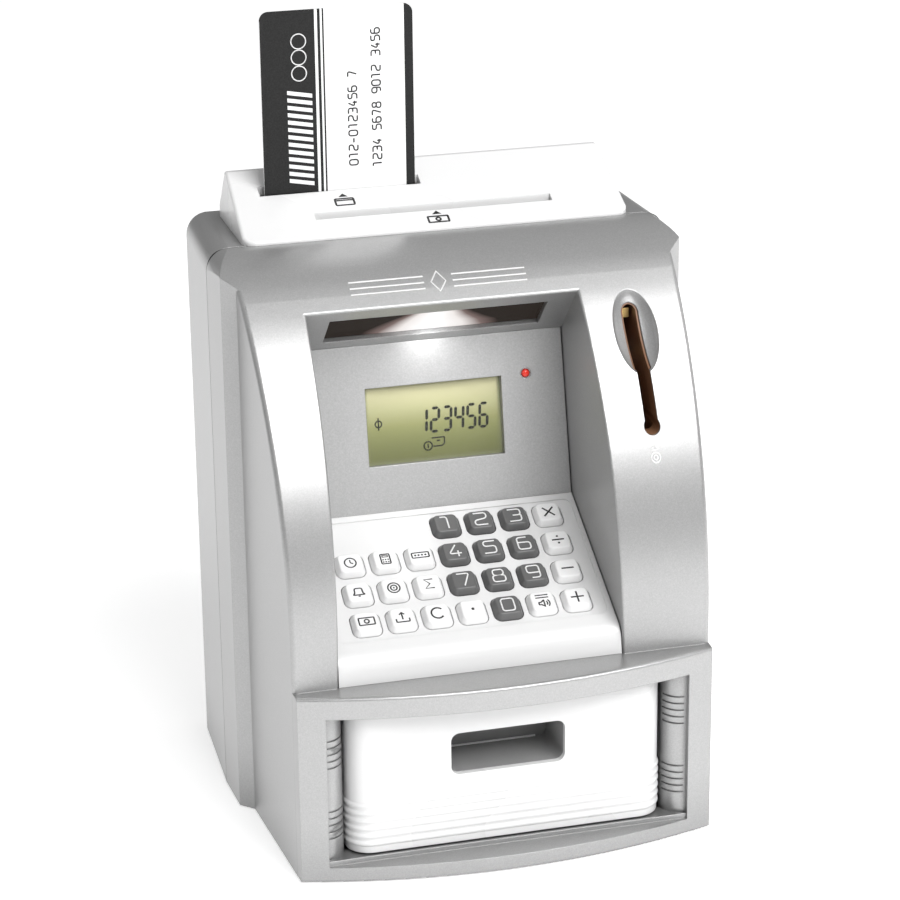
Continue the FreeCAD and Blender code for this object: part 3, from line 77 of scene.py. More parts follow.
# ---------------------------------------------------------------- materials
class Finish:
    """A Principled material, with short calls for the nodes that feed it."""

    def __init__(self, name, roughness=0.5, metallic=0.0, **sockets):
        self.material = bpy.data.materials.new(name)
        self.material.use_nodes = True
        self.tree = self.material.node_tree
        self.shader = self.tree.nodes["Principled BSDF"]
        self.shader.inputs["Roughness"].default_value = roughness
        self.shader.inputs["Metallic"].default_value = metallic
        for socket, value in sockets.items():
            self.shader.inputs[socket.replace("_", " ")].default_value = value
        self.place = self.node("TexCoord").outputs["Object"]

    def node(self, kind, **settings):
        made = self.tree.nodes.new("ShaderNode" + kind)
        for name, value in settings.items():
            setattr(made, name, value)
        return made

    def feed(self, socket, value):
        if isinstance(value, bpy.types.NodeSocket):
            self.tree.links.new(value, socket)
        else:
            socket.default_value = value

    def noise(self, size, detail=3.0, stretch=(1, 1, 1)):
        """Smooth noise with features of about size millimetres."""
        mapping = self.node("Mapping")
        mapping.inputs["Scale"].default_value = stretch
        self.feed(mapping.inputs["Vector"], self.place)
        made = self.node("TexNoise")
        self.feed(made.inputs["Vector"], mapping.outputs[0])
        made.inputs["Scale"].default_value = 1 / (size * MM)
        made.inputs["Detail"].default_value = detail
        return made.outputs["Fac"]

    def cells(self, size):
        """Random value of each cell of about size millimetres."""
        made = self.node("TexVoronoi")
        self.feed(made.inputs["Vector"], self.place)
        made.inputs["Scale"].default_value = 1 / (size * MM)
        split = self.node("SeparateColor")
        self.feed(split.inputs[0], made.outputs["Color"])
        return split.outputs[0]

    def math(self, operation, first, second=0.0):
        made = self.node("Math", operation=operation)
        self.feed(made.inputs[0], first)
        self.feed(made.inputs[1], second)
        return made.outputs[0]

    def along(self, direction, start, end):
        """0 at start and 1 at end, in metres along a direction, clamped outside."""
        dot = self.node("VectorMath", operation="DOT_PRODUCT")
        self.feed(dot.inputs[0], self.place)
        dot.inputs[1].default_value = direction
        made = self.node("MapRange", interpolation_type="SMOOTHSTEP")
        self.feed(made.inputs["Value"], dot.outputs["Value"])
        made.inputs["From Min"].default_value = start
        made.inputs["From Max"].default_value = end
        return made.outputs["Result"]

    def scaled(self, value, low, high):
        made = self.node("MapRange")
        self.feed(made.inputs["Value"], value)
        made.inputs["To Min"].default_value = low
        made.inputs["To Max"].default_value = high
        return made.outputs["Result"]

    def ramp(self, value, *stops):
        """Colour by value; each stop is (place, colour)."""
        made = self.node("ValToRGB")
        self.feed(made.inputs["Fac"], value)
        points = made.color_ramp.elements
        while len(points) < len(stops):
            points.new(1.0)
        for point, (place, colour) in zip(points, stops):
            point.position = place
            point.color = (*colour, 1.0)
        return made.outputs["Color"]

    def mixed(self, value, first, second):
        made = self.node("Mix", data_type="RGBA")
        self.feed(made.inputs["Factor"], value)
        for socket, colour in ((made.inputs["A"], first), (made.inputs["B"], second)):
            self.feed(socket, colour if isinstance(colour, bpy.types.NodeSocket) else (*colour, 1.0))
        return made.outputs["Result"]

    def colour(self, value):
        self.feed(self.shader.inputs["Base Color"], value)

    def rough(self, value):
        self.feed(self.shader.inputs["Roughness"], value)

    def painted_recess_shade(self, reach, dark):
        """Painted shade: 1 on open faces, down to dark in recesses and corners within reach millimetres."""
        made = self.node("AmbientOcclusion", samples=4)
        made.inputs["Distance"].default_value = reach * MM
        return self.scaled(made.outputs["AO"], dark, 1.0)

    def multiplied(self, colour, value):
        """A colour times a plain value."""
        made = self.node("VectorMath", operation="SCALE")
        self.feed(made.inputs[0], colour)
        self.feed(made.inputs["Scale"], value)
        return made.outputs["Vector"]

    def bump(self, *heights, edge=0.0):
        """Surface relief, over edges softened by edge; each height is (value, depth), in millimetres."""
        normal = None
        if edge:
            soft = self.node("Bevel", samples=4)
            soft.inputs["Radius"].default_value = edge * MM
            normal = soft.outputs["Normal"]
        for value, depth in heights:
            made = self.node("Bump")
            made.inputs["Distance"].default_value = depth * MM
            self.feed(made.inputs["Height"], value)
            if normal:
                self.feed(made.inputs["Normal"], normal)
            normal = made.outputs["Normal"]
        self.feed(self.shader.inputs["Normal"], normal)


def grey(level):
    return (level, level, level)


def shade(colour, factor):
    return tuple(min(1.0, part * factor) for part in colour)


def moulded(name, colour, roughness, grain=0.5, depth=0.004, spread=0.06, edge=0.3, dark=0.75, **sockets):
    """Moulded plastic or rubber: fine grain, slow drift of colour and polish, and painted shade in recesses.
    """
    finish = Finish(name, roughness, **sockets)
    fine = finish.noise(grain)
    slow = finish.noise(40.0, 1.0)
    low, high = shade(colour, 1 - spread), shade(colour, 1 + spread)
    tone = finish.math("ADD", finish.math("MULTIPLY", fine, 0.6), finish.math("MULTIPLY", slow, 0.4))
    # Colour times painted shade from ambient occlusion, darker in recesses and corners.
    finish.colour(finish.multiplied(finish.ramp(tone, (0.1, low), (0.9, high)), finish.painted_recess_shade(6.0, dark)))
    finish.rough(finish.scaled(slow, roughness - 0.04, roughness + 0.04))
    finish.bump((fine, depth), edge=edge)
    return finish.material


def silver_paint(name, tone, roughness, flake=0.28, depth=0.010, dark=0.50):
    """Silver paint on plastic: fine aluminium flakes in a satin lacquer, with painted shade in recesses."""
    finish = Finish(name, roughness, 0.65, Coat_Weight=0.10, Coat_Roughness=0.25)
    flakes = finish.cells(flake)
    fine = finish.noise(flake * 1.6, 2.0)
    cloud = finish.noise(60.0, 1.0)
    spark = finish.math("ADD", finish.math("MULTIPLY", flakes, 0.35), finish.math("MULTIPLY", fine, 0.65))
    bright = grey(min(1.0, tone * 1.12))
    base = finish.ramp(spark, (0.25, grey(tone * 0.90)), (0.55, grey(tone)), (0.85, bright))
    # A slow random cloud of tone times painted shade from ambient occlusion, darker in recesses.
    cloud_and_recess_shade = finish.math("MULTIPLY", finish.scaled(cloud, 0.97, 1.0), finish.painted_recess_shade(25.0, dark))
    finish.colour(finish.multiplied(base, cloud_and_recess_shade))
    finish.rough(finish.scaled(spark, roughness - 0.06, roughness + 0.08))
    finish.bump((spark, depth), edge=0.5)
    return finish.material


def brushed(name, colour, roughness, stretch=(0.02, 1, 1)):
    """Plain metal with fine drawn lines and darker stains."""
    finish = Finish(name, roughness, 0.95)
    lines = finish.noise(0.25, 2.0, stretch)
    stain = finish.noise(6.0, 4.0)
    finish.colour(finish.ramp(stain, (0.35, shade(colour, 0.8)), (0.65, colour)))
    finish.rough(finish.scaled(lines, roughness - 0.1, roughness + 0.12))
    finish.bump((lines, 0.01))
    return finish.material


def display_glass():
    """Liquid crystal display with painted light, lighter towards its top, and a painted band of shade and
    reflection near the edges of its window.
    """
    finish = Finish("display_glass", 0.35, Specular_IOR_Level=0.15)
    low, high = span("display_window", PANEL.up)
    left, right = span("display_window", RIGHT)
    # Painted light: the glass is lighter towards the top of its window.
    painted_top_light = finish.along(PANEL.up, low, high)
    grain = finish.noise(0.3, 2.0)
    tone = finish.math("ADD", finish.scaled(painted_top_light, 0.0, 0.94), finish.math("MULTIPLY", grain, 0.06))
    foot, middle, head = (0.13, 0.14, 0.045), (0.25, 0.26, 0.10), (0.52, 0.50, 0.30)
    glass = finish.ramp(tone, (0.0, foot), (0.45, middle), (1.0, head))
    # Painted shade and reflection: a fixed colour along the rim of the window, mixed over the glass colour.
    rim = 1.6 * MM
    sides = [finish.along(RIGHT, left - 0.3 * rim, left + rim), finish.along(-RIGHT, -right, rim - right),
             finish.along(PANEL.up, low, low + rim), finish.along(-PANEL.up, -high, 0.6 * rim - high)]
    inside = sides[0]
    for side in sides[1:]:
        inside = finish.math("MULTIPLY", inside, side)
    finish.colour(finish.mixed(inside, (0.20, 0.21, 0.11), glass))
    finish.bump((grain, 0.003))
    return finish.material


def lamp_glass():
    """Smoked lamp window that glows round its lamp and is black at its ends."""
    finish = Finish("lamp_glass", 0.18, Base_Color=(0.004, 0.004, 0.004, 1.0), IOR=1.08)
    low, high = span("lamp_window", HEADER.up)
    left, right = span("lamp_window", RIGHT)
    middle, half = (left + right) / 2, (right - left) / 2
    down = finish.along(HEADER.up, low, high)
    smear = finish.noise(9.0, 2.0, (0.35, 1, 1))
    reach = finish.math("MULTIPLY", finish.scaled(down, 0.62, 0.22), half)
    centred = finish.node("SeparateXYZ")
    finish.feed(centred.inputs[0], finish.place)
    aside = finish.math("ABSOLUTE", finish.math("SUBTRACT", centred.outputs["X"], middle))
    spread = finish.math("DIVIDE", aside, reach)
    wavy = finish.math("ADD", spread, finish.scaled(smear, -0.12, 0.12))
    glow = finish.ramp(wavy, (0.0, (1.0, 1.0, 1.0)), (0.45, (0.80, 0.76, 0.74)), (0.75, (0.18, 0.13, 0.12)),
                       (1.0, (0.02, 0.015, 0.012)))
    finish.feed(finish.shader.inputs["Emission Color"], glow)
    finish.shader.inputs["Emission Strength"].default_value = 1.1
    finish.rough(finish.scaled(smear, 0.14, 0.24))
    return finish.material


def clear_pane():
    finish = Finish("clear_pane", 0.06, Base_Color=(0.9, 0.92, 0.88, 1.0), Alpha=0.02, Specular_IOR_Level=0.2)
    finish.rough(finish.scaled(finish.noise(12.0), 0.04, 0.10))
    return finish.material


def lit_lens():
    """Red lamp lens, its colour painted lighter towards the top of its dome as painted light, and glowing a
    little there.
    """
    finish = Finish("lit_lens", 0.12, Coat_Weight=0.6)
    low, high = span("status_led", PANEL.out)
    dome_top_light = finish.along(PANEL.out, high - 1.6 * MM, high)
    frost = finish.noise(0.4)
    # Painted light: the base colour is lighter towards the top of the dome.
    finish.colour(finish.ramp(dome_top_light, (0.0, (0.20, 0.004, 0.003)), (1.0, (0.75, 0.03, 0.015))))
    glow = finish.ramp(dome_top_light, (0.3, (0.12, 0, 0)), (1.0, (0.9, 0.05, 0.02)))
    finish.feed(finish.shader.inputs["Emission Color"], glow)
    finish.shader.inputs["Emission Strength"].default_value = 0.06
    finish.rough(finish.scaled(frost, 0.10, 0.2))
    return finish.material


def card_print():
    """Plastic card: a black field and lines to the left, white middle, black stripe to the right."""
    finish = Finish("card_print", 0.45, Specular_IOR_Level=0.3)
    left, right = span("bank_card", RIGHT)
    split = finish.node("SeparateXYZ")
    finish.feed(split.inputs[0], finish.place)
    black = None
    for start, end in CARD_BANDS:
        above = finish.math("GREATER_THAN", split.outputs["X"], left + start * MM)
        below = finish.math("LESS_THAN", split.outputs["X"], left + end * MM)
        band = finish.math("MULTIPLY", above, below)
        black = finish.math("MAXIMUM", black, band) if black else band
    speck = finish.noise(0.5, 4.0)
    ink = finish.ramp(speck, (0.35, grey(0.006)), (0.75, grey(0.018)))
    paper = finish.ramp(speck, (0.2, grey(0.86)), (0.8, grey(0.93)))
    finish.colour(finish.mixed(black, paper, ink))
    finish.rough(finish.scaled(speck, 0.38, 0.52))
    finish.bump((speck, 0.004))
    return finish.material


def circuit_board():
    """Green solder mask with copper tracks under it."""
    finish = Finish("circuit_board", 0.4)
    tracks = finish.node("TexBrick")
    finish.feed(tracks.inputs["Vector"], finish.place)
    tracks.inputs["Scale"].default_value = 180.0
    tracks.inputs["Mortar Size"].default_value = 0.04
    mask = finish.mixed(tracks.outputs["Fac"], (0.012, 0.09, 0.035), (0.03, 0.17, 0.07))
    finish.colour(mask)
    finish.bump((tracks.outputs["Fac"], 0.02), (finish.noise(0.4), 0.004))
    return finish.material


def studio_floor():
    finish = Finish("studio_floor", 0.6, Base_Color=(0.93, 0.93, 0.93, 1.0))
    finish.colour(finish.ramp(finish.noise(60.0), (0.3, grey(0.92)), (0.7, grey(0.94))))
    finish.shader.inputs["Emission Color"].default_value = (1, 1, 1, 1)
    finish.shader.inputs["Emission Strength"].default_value = 0.54
    return finish.material


# Sizes in millimetres that the frame doesn't state
SEAM_ROUND = 8.0     # rounding of the shells at their joint
TONGUE_REACH = 2.5   # how far the rear shell's tongue stands in front of the joint
CUP_WALL = 1.3       # wall of the finger cup
BILL_X = 0.7         # middle of the note slot
EMBLEM_UP = 191.6    # height of the lozenge over the niche
COIN_MARK_X, COIN_MARK_UP = 57.2, 135.4

# Black bands of the card, in millimetres from its left edge
CARD_BANDS = ((0.0, 19.2), (20.2, 21.2), (21.9, 22.5), (50.9, 54.0))

PANEL = Face("display_panel", FRONT)
HEADER = Face("lamp_window", -TOP)
CAP = Face("top_cap", Vector((0, -0.44, 0.90)), 0.97)
CARD = Face("bank_card", FRONT)


def make_finishes():
    """Every material by the record's slot name, and the inks, used for printing and for a painted highlight
    and a painted shadow.
    """
    return {
        "silver_shell": silver_paint("silver_shell", 0.44, 0.33),
        "silver_panel": silver_paint("silver_panel", 0.47, 0.42, 0.36, 0.014, 0.8),
        "silver_cover": silver_paint("silver_cover", 0.44, 0.35),
        "white_console": moulded("white_console", grey(0.72), 0.30, 0.6, 0.003, 0.006, dark=0.86),
        "white_drawer": moulded("white_drawer", grey(0.78), 0.28, 0.8, 0.003, 0.006, dark=0.86),
        "white_cap": moulded("white_cap", grey(0.8), 0.28, 0.8, 0.003, 0.006, dark=0.86),
        "white_key": moulded("white_key", grey(0.8), 0.34, 0.4, 0.003, 0.006, dark=0.86),
        "dark_key": moulded("dark_key", grey(0.115), 0.38, 0.35, 0.006, 0.10),
        "grey_cup": moulded("grey_cup", grey(0.30), 0.42, 0.5, 0.006, 0.10),
        "clear_window": clear_pane(),
        "display_glass": display_glass(),
        "red_lens": lit_lens(),
        "smoked_lens": lamp_glass(),
        "lamp_board": moulded("lamp_board", (0.75, 0.74, 0.70), 0.5),
        "circuit_board": circuit_board(),
        "silicone": moulded("silicone", (0.55, 0.55, 0.53), 0.7, 0.8, 0.02),
        "feet_rubber": moulded("feet_rubber", grey(0.02), 0.85, 0.6, 0.03, 0.2),
        "black_plastic": moulded("black_plastic", grey(0.025), 0.5, 0.5, 0.012, 0.15),
        "brown_plastic": moulded("brown_plastic", (0.24, 0.12, 0.065), 0.42, 0.7, 0.012, 0.15),
        "nylon": moulded("nylon", (0.70, 0.69, 0.63), 0.45, 0.8, 0.006),
        "roller_rubber": moulded("roller_rubber", grey(0.03), 0.8, 0.4, 0.03, 0.2),
        "motor_steel": brushed("motor_steel", (0.55, 0.55, 0.56), 0.35),
        "screw_steel": brushed("screw_steel", (0.50, 0.50, 0.50), 0.35, (1, 1, 0.05)),
        "spring_steel": brushed("spring_steel", (0.55, 0.55, 0.55), 0.3),
        "brass_strip": brushed("brass_strip", (0.72, 0.50, 0.20), 0.3, (1, 1, 0.05)),
        "plated_strip": brushed("plated_strip", (0.65, 0.64, 0.60), 0.3),
        "cell_wrap": moulded("cell_wrap", (0.05, 0.06, 0.09), 0.3, 1.5, 0.006, 0.2),
        "speaker_black": moulded("speaker_black", grey(0.02), 0.7, 0.4, 0.03, 0.2),
        "card_print": card_print(),
        # The white ink also paints the highlight in the finger cup, and the black ink the shadow in the seam.
        "white_ink_and_highlight": moulded("white_ink_and_highlight", grey(0.88), 0.45, 0.3, 0.004, 0.03),
        "black_ink_and_shadow": moulded("black_ink_and_shadow", grey(0.012), 0.45, 0.3, 0.004, 0.15),
        "segment_ink": moulded("segment_ink", (0.014, 0.015, 0.008), 0.4, 0.3, 0.002, 0.12,
                               Specular_IOR_Level=0.1),
        "pale_ring": silver_paint("pale_ring", 0.80, 0.22),
    }


FINISHES = make_finishes()


# ---------------------------------------------------------------- drawn marks
def add_piece(name, mesh, finish, body):
    mesh.materials.append(FINISHES[finish])
    piece = bpy.data.objects.new(name, mesh)
    bpy.context.collection.objects.link(piece)
    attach(piece, body)
    return piece


def curved(line, radius, steps=5):
    """The line with its corners rounded; a line that ends where it starts is closed."""
    closed = line[0] == line[-1]
    points = [Vector(point) for point in (line[:-1] if closed else line)]
    made = []
    for index, corner in enumerate(points):
        if not closed and index in (0, len(points) - 1):
            made.append(corner)
            continue
        back, ahead = points[index - 1] - corner, points[(index + 1) % len(points)] - corner
        reach = min(radius, back.length / 2, ahead.length / 2)
        start, end = corner + back.normalized() * reach, corner + ahead.normalized() * reach
        for step in range(steps + 1):
            part = step / steps
            made.append(start * (1 - part) ** 2 + corner * 2 * part * (1 - part) + end * part ** 2)
    return made + [made[0]] if closed else made


def circle(x, y, radius, steps=24, start=0.0, turn=2 * math.pi):
    """Points round a circle or part of one."""
    angles = [start + turn * step / steps for step in range(steps + 1)]
    return [(x + radius * math.cos(angle), y + radius * math.sin(angle)) for angle in angles]


def ribbon(lines, width, place):
    """Flat printed lines of one width, in millimetres on their sheet, as a mesh."""
    curve = bpy.data.curves.new("ribbon", "CURVE")
    curve.dimensions = "3D"
    curve.bevel_depth = width * MM / 2
    curve.bevel_resolution = 2
    curve.use_fill_caps = True
    for line in lines:
        closed = tuple(line[0]) == tuple(line[-1]) and len(line) > 2
        points = line[:-1] if closed else line
        spline = curve.splines.new("POLY")
        spline.points.add(len(points) - 1)
        for point, (across, up) in zip(spline.points, points):
            point.co = (across * MM, up * MM, 0, 1)
        spline.use_cyclic_u = closed
    holder = bpy.data.objects.new("ribbon", curve)
    mesh = bpy.data.meshes.new_from_object(holder)
    bpy.data.objects.remove(holder)
    mesh.transform(place @ Matrix.Diagonal((1, 1, 2 * INK / width, 1)))
    mesh.polygons.foreach_set("use_smooth", [True] * len(mesh.polygons))
    return mesh


def plates(loops, place, thick=INK):
    """Thin printed plates, one for each closed outline in millimetres, as a mesh."""
    shape = bmesh.new()
    for loop in loops:
        foot = [shape.verts.new((across * MM, up * MM, -thick * MM)) for across, up in loop]
        head = [shape.verts.new((across * MM, up * MM, thick * MM)) for across, up in loop]
        shape.faces.new(head)
        shape.faces.new(foot[::-1])
        for index in range(len(loop)):
            after = (index + 1) % len(loop)
            shape.faces.new((foot[index], foot[after], head[after], head[index]))
    bmesh.ops.recalc_face_normals(shape, faces=shape.faces)
    mesh = bpy.data.meshes.new("plates")
    shape.to_mesh(mesh)
    shape.free()
    mesh.transform(place)
    return mesh


# Numerals as lines in a box one wide and one tall
NUMERALS = {
    "0": [[(0, 0), (1, 0), (1, 1), (0, 1), (0, 0)]],
    "1": [[(0.08, 1), (0.62, 1), (0.62, 0)]],
    "2": [[(0, 1), (1, 1), (1, 0.54), (0, 0.40), (0, 0), (1, 0)]],
    "3": [[(0, 1), (1, 1), (1, 0.5), (0.35, 0.5)], [(0.8, 0.5), (1, 0.5), (1, 0), (0, 0)]],
    "4": [[(0.62, 1), (0, 0.28), (1, 0.28)], [(0.72, 0.5), (0.72, 0)]],
    "5": [[(1, 1), (0.06, 1), (0.06, 0.58), (1, 0.58), (1, 0), (0, 0)]],
    "6": [[(0.8, 1), (0, 1), (0, 0), (1, 0), (1, 0.58), (0.04, 0.58)]],
    "7": [[(0, 1), (1, 1), (0.45, 0)]],
    "8": [[(0.08, 0.53), (0.08, 1), (0.92, 1), (0.92, 0.53), (0.08, 0.53)],
          [(0, 0.53), (1, 0.53), (1, 0), (0, 0), (0, 0.53)]],
    "9": [[(1, 0.42), (0, 0.42), (0, 1), (1, 1), (1, 0), (0.3, 0)]],
    "-": [[(0.1, 0.45), (0.9, 0.45)]],
    " ": [],
}


def numeral(digit, x, up, wide, tall, corner):
    """Lines of one numeral, its box centred on x and up."""
    lines = []
    for line in NUMERALS[digit]:
        scaled = [(x + (across - 0.5) * wide, up + (high - 0.5) * tall) for across, high in line]
        lines.append(curved(scaled, corner))
    return lines


def number_row(text, pitch, wide, tall, corner):
    """Lines of a row of numerals that starts at the origin."""
    lines = []
    for place, digit in enumerate(text):
        lines += numeral(digit, (place + 0.5) * pitch, 0, wide, tall, corner)
    return lines


def box_line(x, up, wide, tall, corner=0.0):
    """A closed box round a middle."""
    left, right, low, high = x - wide / 2, x + wide / 2, up - tall / 2, up + tall / 2
    line = [(left, low), (right, low), (right, high), (left, high), (left, low)]
    return curved(line, corner) if corner else line


# ---------------------------------------------------------------- key legends
def bell():
    dome = [(-2.1, -1.3), (-1.4, -0.6), (-1.3, 1.5), (1.3, 1.5), (1.4, -0.6), (2.1, -1.3), (-2.1, -1.3)]
    return [curved(dome, 0.7), [(-0.4, -1.9), (0.4, -1.9)]]


def loudspeaker():
    """A small loudspeaker with two sound waves, under two short lines."""
    horn = [(-1.6, -0.7), (-0.8, -0.7), (0.3, 0.2), (0.3, -2.6), (-0.8, -1.7), (-1.6, -1.7), (-1.6, -0.7)]
    waves = [circle(0.3, -1.2, 1.1, 8, -0.8, 1.6), circle(0.3, -1.2, 1.9, 10, -0.8, 1.6)]
    return [[(-2.3, 2.4), (2.3, 2.4)], [(-2.3, 1.3), (2.3, 1.3)], curved(horn, 0.1)] + waves


LEGENDS = {
    "key_multiply": [[(-1.9, -1.9), (1.9, 1.9)], [(-1.9, 1.9), (1.9, -1.9)]],
    "key_divide": [[(-2.2, 0), (2.2, 0)], circle(0, 1.5, 0.12, 8), circle(0, -1.5, 0.12, 8)],
    "key_minus": [[(-2.2, 0), (2.2, 0)]],
    "key_plus": [[(-2.3, 0), (2.3, 0)], [(0, -2.3), (0, 2.3)]],
    "key_equals": loudspeaker(),
    "key_clear": [circle(0, 0, 2.2, 24, 0.75, 2 * math.pi - 1.5)],
    "key_point": [circle(0, 0, 0.18, 10)],
    "key_clock": [circle(0, 0, 2.0), [(0, 1.2), (0, 0), (0.9, -0.5)]],
    "key_calculator": [box_line(0, 0, 3.2, 4.2, 0.4), box_line(0, 1.2, 1.9, 0.7)]
                      + [circle(across, up, 0.08, 6) for across in (-0.9, 0, 0.9) for up in (-0.3, -1.3)],
    "key_password": [box_line(0, 0, 6.0, 2.2, 0.4)]
                    + [circle(across, 0, 0.16, 8) for across in (-1.8, -0.6, 0.6, 1.8)],
    "key_alarm": bell(),
    "key_target": [circle(0, 0, 2.1), circle(0, 0, 1.1), circle(0, 0, 0.1, 8)],
    "key_total": [[(1.6, 1.9), (-1.5, 1.9), (0.3, 0), (-1.5, -1.9), (1.6, -1.9)]],
    "key_notes": [box_line(0, 0, 5.4, 3.0, 0.3), circle(0, 0, 0.8)],
    "key_withdraw": [curved([(-2.3, -0.6), (-2.3, -2.0), (2.3, -2.0), (2.3, -0.6)], 0.4),
                     [(0, -1.0), (0, 2.0)], [(-0.9, 1.1), (0, 2.0), (0.9, 1.1)]],
}
BOLD = {"key_multiply": 0.62, "key_divide": 0.62, "key_minus": 0.62, "key_plus": 0.62, "key_clear": 0.62,
        "key_point": 0.8, "key_equals": 0.5}


def dress_keys():
    """A numeral on each dark key and a black mark on each white one."""
    for body, nodes in frame["record"]["behaviour"]["bodies"].items():
        key = nodes[0]
        if not key.startswith("key_") or len(nodes) > 1:
            continue
        face = Face(key, TOP)
        x, up = sum(span(key, RIGHT)) / 2, sum(span(key, face.up)) / 2
        place = face.at(x, up, 0.0)
        name = key[len("key_"):]
        if name.isdigit():
            mesh = ribbon(numeral(name, 0, 0.1, 4.4, 5.2, 1.1), 0.58, place)
            add_piece(key + "_numeral", mesh, "white_ink_and_highlight", body)
        else:
            mesh = ribbon(LEGENDS[key], BOLD.get(key, 0.52), place)
            add_piece(key + "_mark", mesh, "black_ink_and_shadow", body)


# ---------------------------------------------------------------- display
SEGMENTS = {"1": "bc", "2": "abged", "3": "abgcd", "4": "fgbc", "5": "afgcd", "6": "afgedc"}


def segment(letter, wide, tall, thick, gap):
    """Six-sided outline of one display segment in a digit's box."""
    half = tall / 2
    upright = {"b": (wide, half, tall), "c": (wide, 0, half), "f": (0, half, tall), "e": (0, 0, half)}
    if letter in upright:
        x, low, high = upright[letter]
        low, high, point = low + gap, high - gap, thick / 2
        return [(x, low), (x + point, low + point), (x + point, high - point), (x, high),
                (x - point, high - point), (x - point, low + point)]
    up = {"a": tall, "g": half, "d": 0}[letter]
    point = thick / 2
    return [(gap, up), (gap + point, up - point), (wide - gap - point, up - point), (wide - gap, up),
            (wide - gap - point, up + point), (gap + point, up + point)]


def dress_display():
    """Slanted seven-segment digits and small marks on the display, and a pale ring round the lamp."""
    glass = Face("display_module", FRONT)
    left, right = (edge / MM for edge in span("display_window", RIGHT))
    low, high = (edge / MM for edge in span("display_window", PANEL.up))
    pitch, wide, tall, thick, lean = 4.4, 2.75, 8.2, 1.0, 0.07
    start = right - 3.6 - 6 * pitch
    foot = high - 17.6
    loops = []
    for number, digit in enumerate("123456"):
        for letter in SEGMENTS[digit]:
            outline = segment(letter, wide, tall, thick, 0.16)
            loops.append([(start + number * pitch + x + lean * up, foot + up) for x, up in outline])
    add_piece("display_digits", plates(loops, glass.at(0, 0)), "segment_ink", "root")
    note_x, note_up = right - 24.3, low + 6.0
    marks = [circle(note_x - 2.6, note_up - 1.1, 1.5),
             [(note_x - 2.6, note_up - 1.8), (note_x - 2.6, note_up - 0.4)],
             curved([(note_x - 1.2, note_up + 1.6), (note_x + 3.4, note_up + 1.6),
                     (note_x + 3.4, note_up - 0.6), (note_x + 2.4, note_up - 1.4),
                     (note_x - 0.7, note_up - 1.4)], 0.2),
             [(note_x + 0.6, note_up + 0.5), (note_x + 1.8, note_up + 0.5)],
             circle(left + 4.6, foot + 4.4, 1.15), [(left + 4.6, foot + 2.2), (left + 4.6, foot + 6.6)]]
    add_piece("display_marks", ribbon(marks, 0.5, glass.at(0, 0)), "segment_ink", "root")

    lamp_left, lamp_right = span("status_led", RIGHT)
    middle, radius = (lamp_left + lamp_right) / 2, (lamp_right - lamp_left) / 2 / MM
    up = sum(span("status_led", PANEL.up)) / 2
    ring = ribbon([circle(0, 0, radius + 0.35, 40)], 0.5, PANEL.at(middle, up))
    add_piece("status_led_ring", ring, "pale_ring", "root")


# ---------------------------------------------------------------- printing on the card and the case, a painted highlight and a painted shadow
def dress_card():
    """Rows of numbers, a plain emblem and light bars, all up the card."""
    left = span("bank_card", RIGHT)[0] / MM
    foot, head = (edge / MM for edge in span("bank_card", TOP))
    quarter = math.pi / 2
    short = number_row("012-0123456 7", 2.62, 1.9, 3.1, 0.95)
    long = number_row("1234 5678 9012 3456", 2.62, 1.9, 3.1, 0.95)
    rows = (("card_short_number", short, 32.1, 56.2), ("card_long_number", long, 40.6, 57.3))
    for name, lines, across, start in rows:
        place = CARD.at((left + across) * MM, (head - start) * MM, 0.0, quarter)
        add_piece(name, ribbon(lines, 0.55, place), "black_ink_and_shadow", "card")
    emblem = [circle(across, 0, 2.6, 32) for across in (-5.6, 0, 5.6)]
    place = CARD.at((left + 13.4) * MM, (head - 16.4) * MM, 0.0, quarter)
    add_piece("card_emblem", ribbon(emblem, 0.42, place), "white_ink_and_highlight", "card")
    bars = [[(step * 2.6, -4.4), (step * 2.6 + 1.4, -4.4), (step * 2.6 + 3.0, 4.4), (step * 2.6 + 1.6, 4.4)]
            for step in range(13)]
    place = CARD.at((left + 13.4) * MM, (head - 62.0) * MM, 0.0, quarter)
    add_piece("card_bars", plates(bars, place), "white_ink_and_highlight", "card")


def arrow(x, up, half, tall):
    return [(x - half, up), (x + half, up), (x, up + tall)]


def dress_cap():
    """Small arrows and pictures of a card and a note beside their slots."""
    low, high = (edge / MM for edge in span("top_cap", CAP.up))
    card_x = sum(span("bank_card", RIGHT)) / 2 / MM
    note = [box_line(0, -0.7, 7.2, 3.0, 0.2), circle(0, -0.7, 0.8, 16)]
    card = [box_line(0, -0.7, 6.6, 3.4, 0.5), [(-3.2, 0.1), (3.2, 0.1)]]
    for name, x, up, picture in (("bill", BILL_X, low + 5.6, note), ("card", card_x, low + 18.6, card)):
        place = CAP.at(x * MM, up * MM)
        add_piece(name + "_arrow", plates([arrow(0, 1.9, 1.7, 1.7)], place), "black_ink_and_shadow", "root")
        add_piece(name + "_picture", ribbon(picture, 0.75, place), "black_ink_and_shadow", "root")


def fine(line, step=0.8):
    """The line with extra points, so that it can follow a curved face."""
    made = [Vector(line[0])]
    for start, end in zip(line, line[1:]):
        start, end = Vector(start), Vector(end)
        parts = max(1, math.ceil((end - start).length / step))
        made += [start.lerp(end, part / parts) for part in range(1, parts + 1)]
    return made


